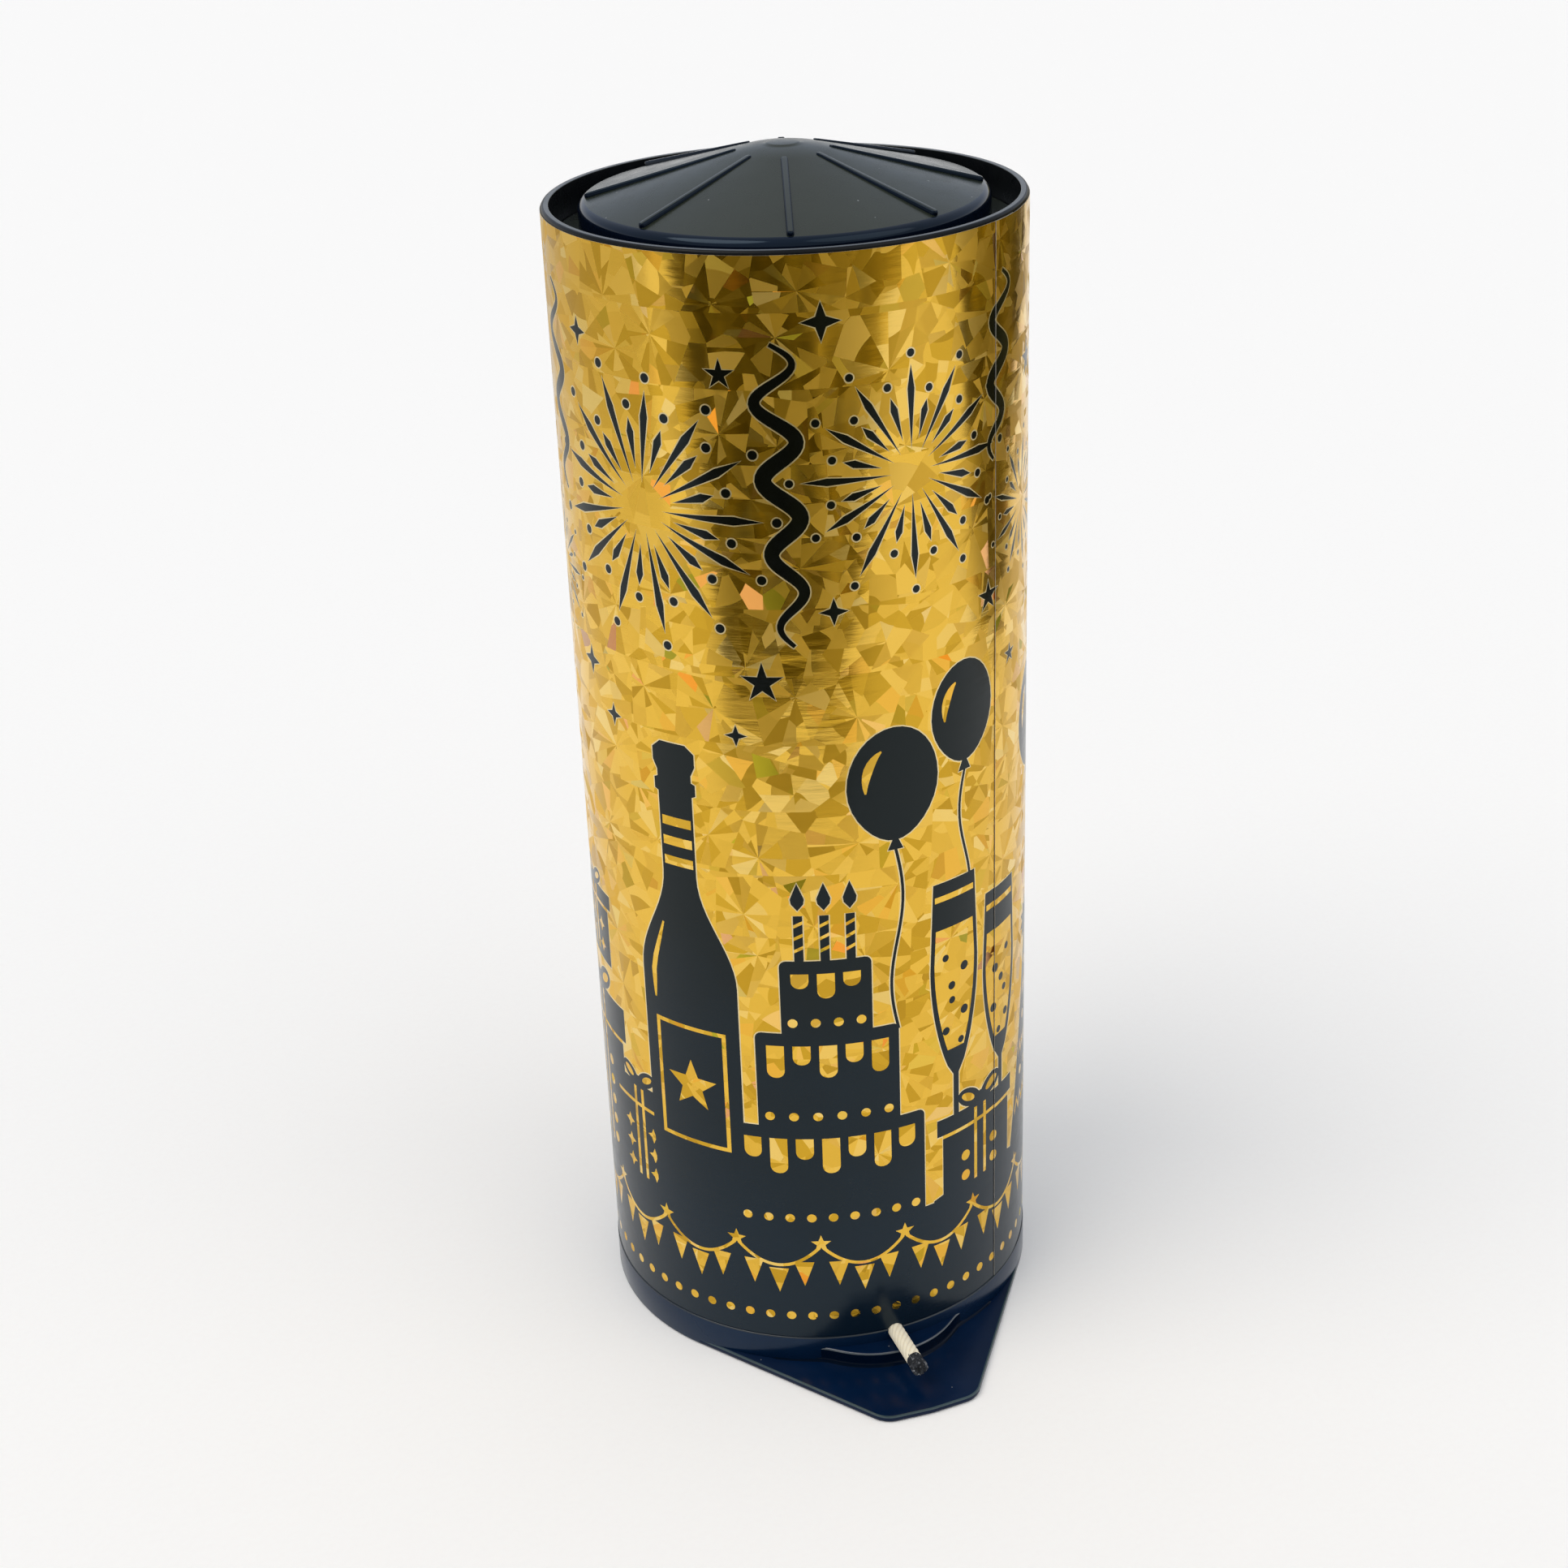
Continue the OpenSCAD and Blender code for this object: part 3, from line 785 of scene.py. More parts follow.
def mirrored(x, foot, half_outline):
    """A shape that is the same left and right of x, from (half width, height) pairs that run upwards."""
    right = [(x + w, foot + h) for w, h in half_outline]
    left = [(x - w, foot + h) for w, h in reversed(half_outline) if w > 0]
    return right + left


def star(x, y, outer, points=5, waist=0.42):
    out = []
    for k in range(2 * points):
        reach = outer if k % 2 == 0 else outer * waist
        a = radians(90.0 + 180 * k / points)
        out.append((x + reach * cos(a), y + reach * sin(a)))
    return out


def ribbon(path, widths):
    """A band along a path, as wide at each point as widths says."""
    left, right = [], []
    for i, point in enumerate(path):
        along = Vector(path[min(i + 1, len(path) - 1)]) - Vector(path[max(i - 1, 0)])
        side = Vector((-along.y, along.x)).normalized() * (widths[i] / 2)
        left.append(tuple(Vector(point) + side))
        right.append(tuple(Vector(point) - side))
    return right + left[::-1]


def firework(x, y, reach, rays, seed):
    """Tapered rays, long and short by turns, round an open middle, with a spark past each."""
    starts_and_ends = ((0.2, 0.9, 1.0), (0.3, 0.62, 0.7))
    shapes = []
    centre, wide = Vector((x, y)), reach * 0.034
    draw = random.Random(seed)
    for k in range(rays):
        a = radians(360 * k / rays + draw.uniform(-2, 2))
        inner, least, most = starts_and_ends[k % 2]
        start, end = reach * inner, reach * draw.uniform(least, most)
        along, side = Vector((cos(a), sin(a))), Vector((-sin(a), cos(a)))
        widest = start + (end - start) * 0.72
        corners = (along * start, along * widest - side * wide, along * end, along * widest + side * wide)
        spark = centre + along * (end + reach * 0.1)
        shapes += ink([tuple(centre + c) for c in corners], dot(spark.x, spark.y, reach * 0.036))
    return shapes


def streamer(x, y, height, swing, coils, width, lean):
    """A corkscrew ribbon that hangs and thins towards both ends."""
    shares = between(0, 1, 24 * coils)
    path = [(x + lean * t + swing * sin(TURN * coils * t) * (1 - 0.4 * t), y - height * t) for t in shares]
    return ink(ribbon(path, [width * (0.25 + 0.75 * sin(pi * t)) for t in shares]))


def bottle(x, foot, wide, tall):
    """A sparkling wine bottle with a bare label panel and stripes on its neck foil."""
    half, neck, cork = wide / 2, wide * 0.17, wide * 0.21
    shoulder_low, shoulder_high, lip = tall * 0.52, tall * 0.74, tall * 0.9
    outline = [(half - 1.2, 0), (half, 1.2)]
    for t in between(0, 1, 12):
        swell = 0.5 + 0.5 * cos(pi * t)
        outline.append((neck + (half - neck) * swell, shoulder_low + (shoulder_high - shoulder_low) * t))
    outline += [(neck, lip), (neck + 0.9, lip + 0.4), (neck + 0.9, lip + 3.0), (neck, lip + 3.4)]
    outline += [(neck, lip + 5), (cork, tall * 0.96), (cork, tall * 0.985), (cork * 0.6, tall), (0, tall)]
    panel, panel_foot, panel_head = half * 0.74, foot + tall * 0.16, foot + tall * 0.42
    shapes = ink(mirrored(x, foot, outline))
    shapes += bare(box_shape(x - panel, panel_foot, x + panel, panel_head))
    shapes += ink(box_shape(x - panel + 1, panel_foot + 1, x + panel - 1, panel_head - 1))
    shapes += bare(star(x, foot + tall * 0.29, panel * 0.72))
    for k in range(3):
        low = foot + tall * (0.755 + 0.04 * k)
        shapes += bare(box_shape(x - neck + 0.6, low, x + neck - 0.6, low + tall * 0.018))
    gleam = [(x - half * 0.72, foot + tall * (0.46 + 0.012 * k)) for k in range(6)]
    gleam += [(x - half * (0.72 - 0.06 * k), foot + tall * (0.53 + 0.02 * k)) for k in range(1, 6)]
    return shapes + bare(ribbon(gleam, [0.5 + 0.9 * sin(pi * k / 10) for k in range(11)]))


def flute(x, foot, tall, wide):
    """A tall glass with its drink cut out below the brim and bubbles in it."""
    half, stem, knot, steps, gap = wide / 2, 0.8, tall * 0.4, 10, 1.1
    brim, drink_head = foot + tall, tall * 0.86
    bowl = [(stem + (half - stem) * sin(pi / 2 * k / steps) ** 0.7, knot + tall * 0.34 * k / steps)
            for k in range(steps + 1)]
    outline = [(half * 0.95, 0), (half * 0.95, 0.9), (stem * 2.2, 2.4), (stem, 5.0), (stem, knot - 4)]
    outline += bowl + [(half * 0.86, tall), (0, tall)]
    drink = [(max(w - gap, 0.2), h + 1.2) for w, h in bowl[2:]]
    drink += [(half * 0.93 - gap, drink_head), (0, drink_head)]
    shapes = ink(mirrored(x, foot, outline)) + bare(mirrored(x, foot, drink))
    for k in range(7):
        rise = knot + tall * (0.1 + 0.045 * k)
        shapes += ink(dot(x + half * 0.42 * sin(2.4 * k + x), foot + rise, 0.9 + 0.12 * (k % 3)))
    return shapes + bare(box_shape(x - half * 0.8, brim - 4.6, x + half * 0.8, brim - 3.2))


def bow(x, foot, reach):
    """Two loops and a knot."""
    shapes = []
    for side in (-1, 1):
        lean, loop_x, hole_x = side * 28, x + side * reach * 0.52, x + side * reach * 0.58
        shapes += ink(oval(loop_x, foot + reach * 0.42, reach * 0.56, reach * 0.32, 24, lean))
        shapes += bare(oval(hole_x, foot + reach * 0.45, reach * 0.32, reach * 0.14, 20, lean))
    return shapes + ink(oval(x, foot + reach * 0.22, reach * 0.2, reach * 0.22, 18))


def gift(x, foot, wide, tall, dots):
    """A box with a lid, a ribbon and a bow, and rows of dots or stars cut out of it."""
    half, lid_tall, ribbon_half, seam, pitch = wide / 2, tall * 0.2, wide * 0.07, 0.9, 5.4
    lid_foot, head = foot + tall - lid_tall, foot + tall
    shapes = ink(box_shape(x - half, foot, x + half, lid_foot))
    shapes += ink(box_shape(x - half - 1.6, lid_foot, x + half + 1.6, head))
    shapes += bare(box_shape(x - half, lid_foot - seam, x + half, lid_foot))
    for edge in (x - ribbon_half, x + ribbon_half):
        shapes += bare(box_shape(edge - 0.5, foot + 1.5, edge + 0.5, head - 1.2))
    columns = range(int((half - ribbon_half - 2) // pitch))
    rows = range(int((tall - lid_tall - 4) // pitch))
    for side, column, row in product((-1, 1), columns, rows):
        at = x + side * (ribbon_half + 3.4 + pitch * column), foot + 4.0 + pitch * row
        shapes += bare(dot(*at, 1.35, 16) if dots else star(*at, 2.0, 4, 0.45))
    return shapes + bow(x, head - 0.6, wide * 0.3)


def cake_tier(x, level, wide, tall, shift):
    """A tier with icing drips and a row of beads cut out of it."""
    half, icing = wide / 2, level + tall - 3.2
    shapes = ink(round_corners(box_shape(x - half, level, x + half, level + tall), (0, 0, 1.5, 1.5), 4))
    drips = max(3, int(wide // 6))
    pitch = (wide - 3) / drips
    for k in range(drips):
        px = x - half + 1.5 + pitch * (k + 0.5)
        drop = tall * (0.2 + 0.14 * ((k + shift) % 2))
        drip = box_shape(px - pitch * 0.34, icing - drop, px + pitch * 0.34, icing)
        shapes += bare(round_corners(drip, (pitch * 0.32, pitch * 0.32, 0, 0), 5))
    beads = max(3, int(wide // 4.6))
    for k in range(beads):
        shapes += bare(dot(x - half + wide * (k + 0.5) / beads, level + 2.6, 1.1))
    return shapes


def candle(x, foot):
    flame = [(0.0, 0.0), (1.3, 1.6), (1.5, 2.8), (0.8, 4.6), (0.0, 6.6)]
    shapes = ink(box_shape(x - 1.0, foot - 0.5, x + 1.0, foot + 11), mirrored(x, foot + 12.2, flame))
    for stripe in range(3):
        low = foot + 2 + 3 * stripe
        shapes += bare([(x - 1, low), (x + 1, low + 1), (x + 1, low + 1.8), (x - 1, low + 0.8)])
    return shapes


def cake(x, foot, widths, talls, candles):
    shapes = []
    for tier, (wide, tall) in enumerate(zip(widths, talls)):
        shapes += cake_tier(x, foot, wide, tall, tier)
        foot += tall
    for k in range(candles):
        shapes += candle(x + (k - (candles - 1) / 2) * 5.6, foot)
    return shapes


def party_hat(x, foot, wide, tall):
    """A cone hat with zigzag bands, dots and a tuft."""
    half, teeth = wide / 2, 6
    shapes = ink([(x - half, foot), (x + half, foot), (x + 0.8, foot + tall), (x - 0.8, foot + tall)])
    for band in range(3):
        level = tall * (0.14 + 0.26 * band)
        reach = half * (1 - (level + 3) / tall) * 0.94
        path = [(x - reach + 2 * reach * k / (2 * teeth), foot + level + (3.0 if k % 2 else 0.0))
                for k in range(2 * teeth + 1)]
        shapes += bare(path + [(px, py + 1.7) for px, py in reversed(path)])
    for k, asides in enumerate(((-0.5, 0.0, 0.5), (-0.35, 0.35), (0.0,))):
        level = tall * (0.32 + 0.25 * k)
        reach = half * (1 - level / tall)
        shapes += bare(*[dot(x + aside * reach * 1.1, foot + level, 1.2) for aside in asides])
    return shapes + ink(star(x, foot + tall + 1.5, 6.0, 11, 0.62))


def balloon(x, y, across, up, string_foot, sway):
    """A balloon with a gleam, a knot and a string down to what stands below it."""
    outline = []
    for a in angles(32):
        taper = 1 - 0.16 * max(0.0, -sin(a)) ** 2
        outline.append((x + across * taper * cos(a), y + up * sin(a)))
    foot = y - up
    knot = [(x - 1.8, foot - 2.2), (x + 1.8, foot - 2.2), (x + 0.5, foot + 0.6), (x - 0.5, foot + 0.6)]
    gleam = [(x - across * 0.62 * cos(a), y + up * 0.68 * sin(a))
             for a in (radians(-8 + 9 * k) for k in range(9))]
    shapes = ink(outline, knot)
    shapes += bare(ribbon(gleam, [0.4 + 1.7 * sin(pi * k / 8) for k in range(9)]))
    fall = foot - 2 - string_foot
    string = [(x + sway * sin(TURN * k / 24), foot - 2 - fall * k / 24) for k in range(25)]
    return shapes + ink(ribbon(string, [0.7] * len(string)))


def bunting():
    """Black ground along the foot with swags, hanging flags and beads cut out of it."""
    swags, line, sag = 8, GROUND - 6.0, 5.0
    pitch = REPEAT / swags
    shapes = ink(box_shape(-REPEAT / 2 - 1, -1, REPEAT / 2 + 1, GROUND))

    def on_swag(middle, t):
        return middle + pitch * 0.48 * t, line - sag * (1 - t * t)

    for k in range(swags):
        middle = -REPEAT / 2 + pitch * (k + 0.5)
        swag = [on_swag(middle, -1 + j / 8) for j in range(17)]
        shapes += bare(ribbon(swag, [0.8] * len(swag)))
        for t in (-0.62, 0.0, 0.62):
            x, y = on_swag(middle, t)
            top = y - 0.9
            shapes += bare([(x - 2.3, top), (x, top - 6.6), (x + 2.3, top)])
        shapes += bare(star(middle - pitch / 2, line + 1.0, 2.4))
        shapes += bare(*[dot(middle + pitch * (j - 1.5) / 4, 6.0, 1.1) for j in range(4)])
    return shapes


def party_design():
    """One repeat of the print, in the order in which its shapes are laid over each other."""
    stand = GROUND - 0.5
    parts = (balloon(19, 139, 10.5, 13, 80, 1.5), balloon(37, 151, 9, 11.5, 100, -1.6),
             balloon(71, 137, 10, 12.5, 80, 1.4), gift(-67, stand, 28, 44, True),
             gift(-66, GROUND + 52, 19, 19, False), gift(-47, stand, 20, 27, False),
             bottle(-29, GROUND - 1, 25, 118), cake(3, stand, (44, 32, 20), (27, 24, 18), 3),
             flute(34, stand, 82, 14), flute(50, stand, 74, 14), gift(42, stand, 24, 22, True),
             party_hat(70, stand, 29, 54), bunting(), firework(-33, 199, 27, 26, 1),
             firework(24, 206, 23, 24, 2), firework(61, 190, 15, 18, 3), firework(-70, 178, 14, 18, 4),
             streamer(-4, 234, 62, 4.2, 4, 3.4, 3), streamer(50, 241, 38, 3.2, 3, 2.8, -3),
             streamer(-63, 240, 44, 3.4, 3, 2.9, 2))
    sparkles = [star(x, y, reach, 5 - k % 2, 0.36) for k, (x, y, reach) in enumerate(SPARKLES)]
    return [shape for part in parts for shape in part] + ink(*sparkles)


def anticlockwise(outline):
    area = sum(a[0] * b[1] - b[0] * a[1] for a, b in zip(outline, outline[1:] + outline[:1]))
    return outline if area > 0 else outline[::-1]


def print_layers():
    """What lies on the sheet, from below: the foil, rims of bare film, the print and the fuse's hole."""
    rims, prints = [], []
    for copy, (paint, outline) in product(range(4), party_design()):
        moved = anticlockwise([(x + copy * REPEAT, y) for x, y in outline])
        if max(moved)[0] > SHEET_START and min(moved)[0] < SHEET_END:
            prints.append((paint, moved))
            if paint == INK:
                rims.append((RIM, inset_outline(moved, -PRINT_RIM)))
    fuse_x = radians(-CAMERA_TURN) * LABEL_R / MM + GIRTH
    hole = dot(fuse_x, (FUSE_Z - LABEL_FOOT) / MM, FUSE_HOLE_R / MM, 24)
    return bare(box_shape(SHEET_START, 0, SHEET_END, PRINT_HEIGHT)) + rims + prints + [(HOLE, hole)]


def print_triangles():
    """Cuts the flat sheet along every outline and every few degrees, and says what is printed where."""
    layers = print_layers()
    points, faces, edges = [], [], []
    for _, outline in layers:
        faces.append(list(range(len(points), len(points) + len(outline))))
        points += [Vector(p) for p in anticlockwise(outline)]
    for x in between(SHEET_START, SHEET_END, SHEET_COLUMNS)[1:-1]:
        edges.append((len(points), len(points) + 1))
        points += [Vector((x, 0)), Vector((x, PRINT_HEIGHT))]
    flat, _, triangles, _, _, sources = delaunay_2d_cdt(points, edges, faces, 0, 1e-5)
    paints = [layers[max(source)][0] if 0 in source else HOLE for source in sources]
    return flat, [(corners, paint) for corners, paint in zip(triangles, paints) if paint != HOLE]


def wrapped(point, depth):
    """Where a point of the flat print lies round the tube. The sheet's start is lifted onto its end."""
    lift = FILM * (1 - eased(clamped((point.x - SHEET_START - OVERLAP) / OVERLAP)))
    bearing = degrees(point.x * MM / LABEL_R)
    return from_camera(LABEL_R + (lift - depth) * MM, bearing, LABEL_FOOT + point.y * MM)


def shell_faces(outer, count):
    """The film's face, its back and its open edges; the back's points follow the face's."""
    open_edges = {}
    for a, b, c in outer:
        for edge in ((a, b), (b, c), (c, a)):
            if not open_edges.pop(edge[::-1], False):
                open_edges[edge] = True
    back = [(a + count, c + count, b + count) for a, b, c in outer]
    return outer + back + [(b, a, a + count, b + count) for a, b in open_edges]


def make_label():
    """The printed film wrapped round the tube, its first end lying over its last."""
    flat, triangles = print_triangles()
    used = sorted({c for corners, _ in triangles for c in corners})
    index = {old: new for new, old in enumerate(used)}
    count = len(used)
    places = [wrapped(flat[c], depth) for depth in (0.0, FILM) for c in used]
    faces = shell_faces([tuple(index[c] for c in corners) for corners, _ in triangles], count)
    paints = [paint for _, paint in triangles]
    paints += [BACK] * (len(faces) - len(paints))
    mesh = bpy.data.meshes.new("printed_label")
    mesh.from_pydata(places, [], faces)
    for material in (foil_material(), ink_material(), label_edge_material(), bare_film_material()):
        mesh.materials.append(material)
    mesh.polygons.foreach_set("material_index", paints)
    mesh.polygons.foreach_set("use_smooth", [True] * len(faces))
    layer = mesh.uv_layers.new(name="print")
    for loop in mesh.loops:
        point = flat[used[loop.vertex_index % count]]
        layer.data[loop.index].uv = (point.x / PRINT_UNIT, point.y / PRINT_UNIT)
    outward = [Vector((p.x, p.y, 0)).normalized() for p in places[:count]]
    mesh.normals_split_custom_set_from_vertices(outward + [-n for n in outward])
    place_piece(link_object("printed_label", mesh), "housing", "gold_foil", "label")


# Tube and base

def make_tube():
    """A plain wall with a flat lip that is painted paler as a highlight."""
    outer_edge, inner_edge, flat = 0.6 * MM, 0.15 * MM, 0.05 * MM
    corners = [(BORE_R, SEAM_Z), (TUBE_R, SEAM_Z), (TUBE_R, RIM_Z), (TUBE_R - outer_edge - flat, RIM_Z),
               (BORE_R + inner_edge + flat, RIM_Z), (BORE_R, RIM_Z)]
    profile = round_corners(corners, (0, 0, outer_edge, 0, 0, inner_edge), 4)
    bm = bmesh.new()
    add_drilled(bm, profile, BORE_R - 5 * MM, RING_R + 5 * MM)
    for face in bm.faces:
        reach, z = reach_and_height(face)
        # The flat top and inner edge of the lip get the paler colour, a painted highlight.
        if z > RIM_Z - inner_edge / 2 and reach < TUBE_R - outer_edge:
            face.material_index = 1
    make_piece("tube_wall", bm, plastics("tube_black", "tube_lip_painted_highlight"), "housing", "tube_plastic", "tube")


FLOOR_TOP = 1.5 * MM
LEDGE_TOP = FUSE_Z - FUSE_R - 0.15 * MM
LEDGE_REACH = 4.6 * MM
LEDGE_R = 20.7 * MM
TRAY_ANGLE = 35.0
TRAY_CORNER = 6.0 * MM
SPIGOT_WALL = 2.0 * MM
SPIGOT_R = BORE_R - 0.1 * MM
SPIGOT_BORE_R = SPIGOT_R - SPIGOT_WALL
CHAMBER_R = 13.0 * MM
CHAMBER_WALL = 1.6 * MM
WEB_TOP = 9.5 * MM
WEBS = 6
BASE_PLASTICS = ("base_black", "base_edge_painted_highlight", "base_ledge_painted_highlight", "base_seam_painted_highlight", "base_ring",
                 "base_ledge_painted_shade")
EDGE_HIGHLIGHT, LEDGE_HIGHLIGHT, SEAM_HIGHLIGHT, RING_SIDE, LEDGE_SHADE = range(1, 6)


def tray_outline():
    """The floor's outline, anticlockwise: a circle under the ring, straight sides, a blunt, bowed front."""
    bow_out, back_r, steps = 0.7 * MM, RING_R - 0.3 * MM, 120
    side = radians(TRAY_ANGLE)
    front = TRAY_FRONT - bow_out
    corner_x = (RING_R - front * sin(side)) / cos(side)
    right = [(RING_R * cos(side), -RING_R * sin(side)), (corner_x, -front)]
    left = [(-x, y) for x, y in right]
    front_line = left + [(0, -TRAY_FRONT)] + right[::-1]
    outline = round_corners(front_line, (0, TRAY_CORNER, TRAY_CORNER * 2, TRAY_CORNER, 0), 8, closed=False)
    back = [polar(back_r, bearing) for bearing in between(-TRAY_ANGLE, 180 + TRAY_ANGLE, steps)[1:-1]]
    return outline + [(p.x, p.y) for p in back]


def ledge_outline():
    """The fuse ledge's outline, anticlockwise: its bulge runs softly into the ring."""
    blend, steps, half = 1.1 * MM, 72, 33.0
    ring, back_r = RING_R - 0.25 * MM, RING_R - 1.6 * MM
    middle = RING_R + LEDGE_REACH - LEDGE_R
    front = []
    for bearing in between(-half, half, steps):
        a = radians(bearing)
        bulge = middle * cos(a) + sqrt(max(LEDGE_R ** 2 - (middle * sin(a)) ** 2, 0.0))
        reach = (bulge + ring + sqrt((bulge - ring) ** 2 + blend ** 2)) / 2
        front.append(polar(reach, -90 + bearing))
    back = [polar(back_r, bearing) for bearing in between(-90 + half, -90 - half, steps)]
    return [(p.x, p.y) for p in front + back]


def add_ring(bm):
    """The ring under the tube's wall, with the spigot that holds the tube."""
    skin = 0.3 * MM
    corners = [(SPIGOT_BORE_R, 0), (RING_R, 0), (RING_R, SEAM_Z), (SPIGOT_R, SEAM_Z), (SPIGOT_R, SPIGOT_TOP),
               (SPIGOT_BORE_R, SPIGOT_TOP)]
    edges = [r * MM for r in (0, 0.35, 0.3, 0, 0.5, 0.4)]
    add_drilled(bm, round_corners(corners, edges, 4), SPIGOT_BORE_R - 5 * MM, RING_R + 8 * MM)
    for face in bm.faces:
        reach, z = reach_and_height(face)
        if reach > RING_R - skin:
            # The ring's top edge is painted paler as a highlight; its side gets the ring's own colour.
            face.material_index = SEAM_HIGHLIGHT if z > SEAM_Z - skin else RING_SIDE


def add_tray(bm):
    edge = 0.4 * MM
    bevel = edge * 0.3
    levels = [(edge, 0), (bevel, bevel), (0, edge), (0, FLOOR_TOP - edge), (bevel, FLOOR_TOP - bevel),
              (edge, FLOOR_TOP)]
    # The tray's top bevel is painted paler, as a highlight.
    add_slab(bm, tray_outline(), levels, {3: EDGE_HIGHLIGHT, 4: EDGE_HIGHLIGHT})


def add_ledge(bm):
    """The fuse's ledge, with a soft foot and a rounded top edge; the edge is painted bright as a highlight,
    the foot and front side darker as shade.
    """
    edge, steps = 0.5 * MM, 5
    foot = ((-0.7, -0.2), (-0.45, 0.12), (-0.12, 0.5), (0, 1.0))
    levels = [(inset * MM, FLOOR_TOP + rise * MM) for inset, rise in foot]
    for k in range(steps + 1):
        a = pi / 2 * k / steps
        levels.append((edge * (1 - cos(a)), LEDGE_TOP - edge * (1 - sin(a))))
    # The foot and front side are painted darker as shade, the lower part of the top edge paler as a
    # highlight.
    paints = [LEDGE_SHADE] * 4 + [LEDGE_HIGHLIGHT] * 3
    add_slab(bm, ledge_outline(), levels, dict(enumerate(paints)))


def add_chamber(bm):
    foot, rim, outer = 0.5 * MM, 0.3 * MM, CHAMBER_R + CHAMBER_WALL
    corners = [(CHAMBER_R, foot), (outer, foot), (outer, CHAMBER_TOP), (CHAMBER_R, CHAMBER_TOP)]
    add_drilled(bm, round_corners(corners, (0, 0, rim, rim), 3), CHAMBER_R - 3 * MM, outer + 3 * MM)


def add_webs(bm):
    """Tapered webs from the chamber to the spigot."""
    section = ((0.85, 1.0 * MM), (0.85, 1.6 * MM), (0.6, WEB_TOP - 0.4 * MM), (0.3, WEB_TOP))
    for k in range(WEBS):
        along = polar(1, -90 + (k + 0.5) * 360 / WEBS)
        side = Vector((-along.y, along.x, 0))
        rings = []
        for reach in (CHAMBER_R + CHAMBER_WALL / 2, SPIGOT_BORE_R + SPIGOT_WALL / 2):
            ring = [along * reach + side * half * MM + UP * z for half, z in section]
            rings.append(ring + [p - 2 * side * side.dot(p) for p in reversed(ring)])
        add_loft(bm, rings)


def make_base():
    bm = bmesh.new()
    for add_part in (add_ring, add_tray, add_ledge, add_chamber, add_webs):
        add_part(bm)
    make_piece("moulded_base", bm, plastics(*BASE_PLASTICS), "housing", "base_plastic", "base")


# Lid

CROWN_R = BORE_R - 5.9 * MM
CONE_RISE = 11.5 * MM
CROWN_EDGE = 2.0 * MM
CROWN_EDGE_Z = RIM_Z - 1.5 * MM
BRIM_Z = RIM_Z - 6.8 * MM
LID_WALL = 1.2 * MM
RIBS = 8
RIB_TURN = -18.0
RIB_INNER = 9.5 * MM
RIB_OUTER = CROWN_R - 1.6 * MM
RIB_WIDTH = 1.5 * MM
RIB_HEIGHT = 0.9 * MM
PAD_R = 3.35 * MM
PAD_HEIGHT = 0.12 * MM
TIP_DOME_R = 40.0 * MM
CONE_SLOPE = atan(CONE_RISE / CROWN_R)
CONE_FOOT = CROWN_EDGE_Z + CROWN_EDGE * (1 - sin(CONE_SLOPE)) / cos(CONE_SLOPE)
DOME_EDGE = TIP_DOME_R * sin(CONE_SLOPE)
LID_PLASTICS = ("lid_black", "lid_polished_painted_shade", "lid_rib_painted_shade", "lid_rib_top")
POLISHED_SHADE, RIB_SHADE, RIB_TOP = range(1, 4)


def cone_z(radius):
    return CONE_FOOT + (CROWN_R - radius) * tan(CONE_SLOPE)


def crown_z(radius):
    """Height of the crown: a cone with a domed tip."""
    if radius >= DOME_EDGE:
        return cone_z(radius)
    return cone_z(DOME_EDGE) + sqrt(TIP_DOME_R ** 2 - radius ** 2) - TIP_DOME_R * cos(CONE_SLOPE)


def lid_profile():
    """The lid's section, from the pad on its tip over the brim to the middle of its underside."""
    under = LID_WALL / cos(CONE_SLOPE)
    inner_r, skirt_r, brim_under = CROWN_R - LID_WALL, BRIM_R - LID_WALL, BRIM_Z - LID_WALL
    tip = [(r, crown_z(r) + PAD_HEIGHT) for r in between(0, PAD_R, 6)]
    tip += [(r, crown_z(r)) for r in between(PAD_R + 0.2 * MM, DOME_EDGE, 6)]
    corners = [(CROWN_R, CONE_FOOT), (CROWN_R, BRIM_Z), (BRIM_R, BRIM_Z), (BRIM_R, LID_FOOT),
               (skirt_r, LID_FOOT), (skirt_r, brim_under), (inner_r, brim_under),
               (inner_r, CONE_FOOT - under), (DOME_EDGE, cone_z(DOME_EDGE) - under), (0, crown_z(0) - under)]
    edges = [0] * len(tip) + [CROWN_EDGE] + [r * MM for r in (0.7, 0.3, 0.4, 0.3, 0.3, 0.4, 0.8, 0, 0)]
    return round_corners(tip + corners, edges, 8, closed=False)


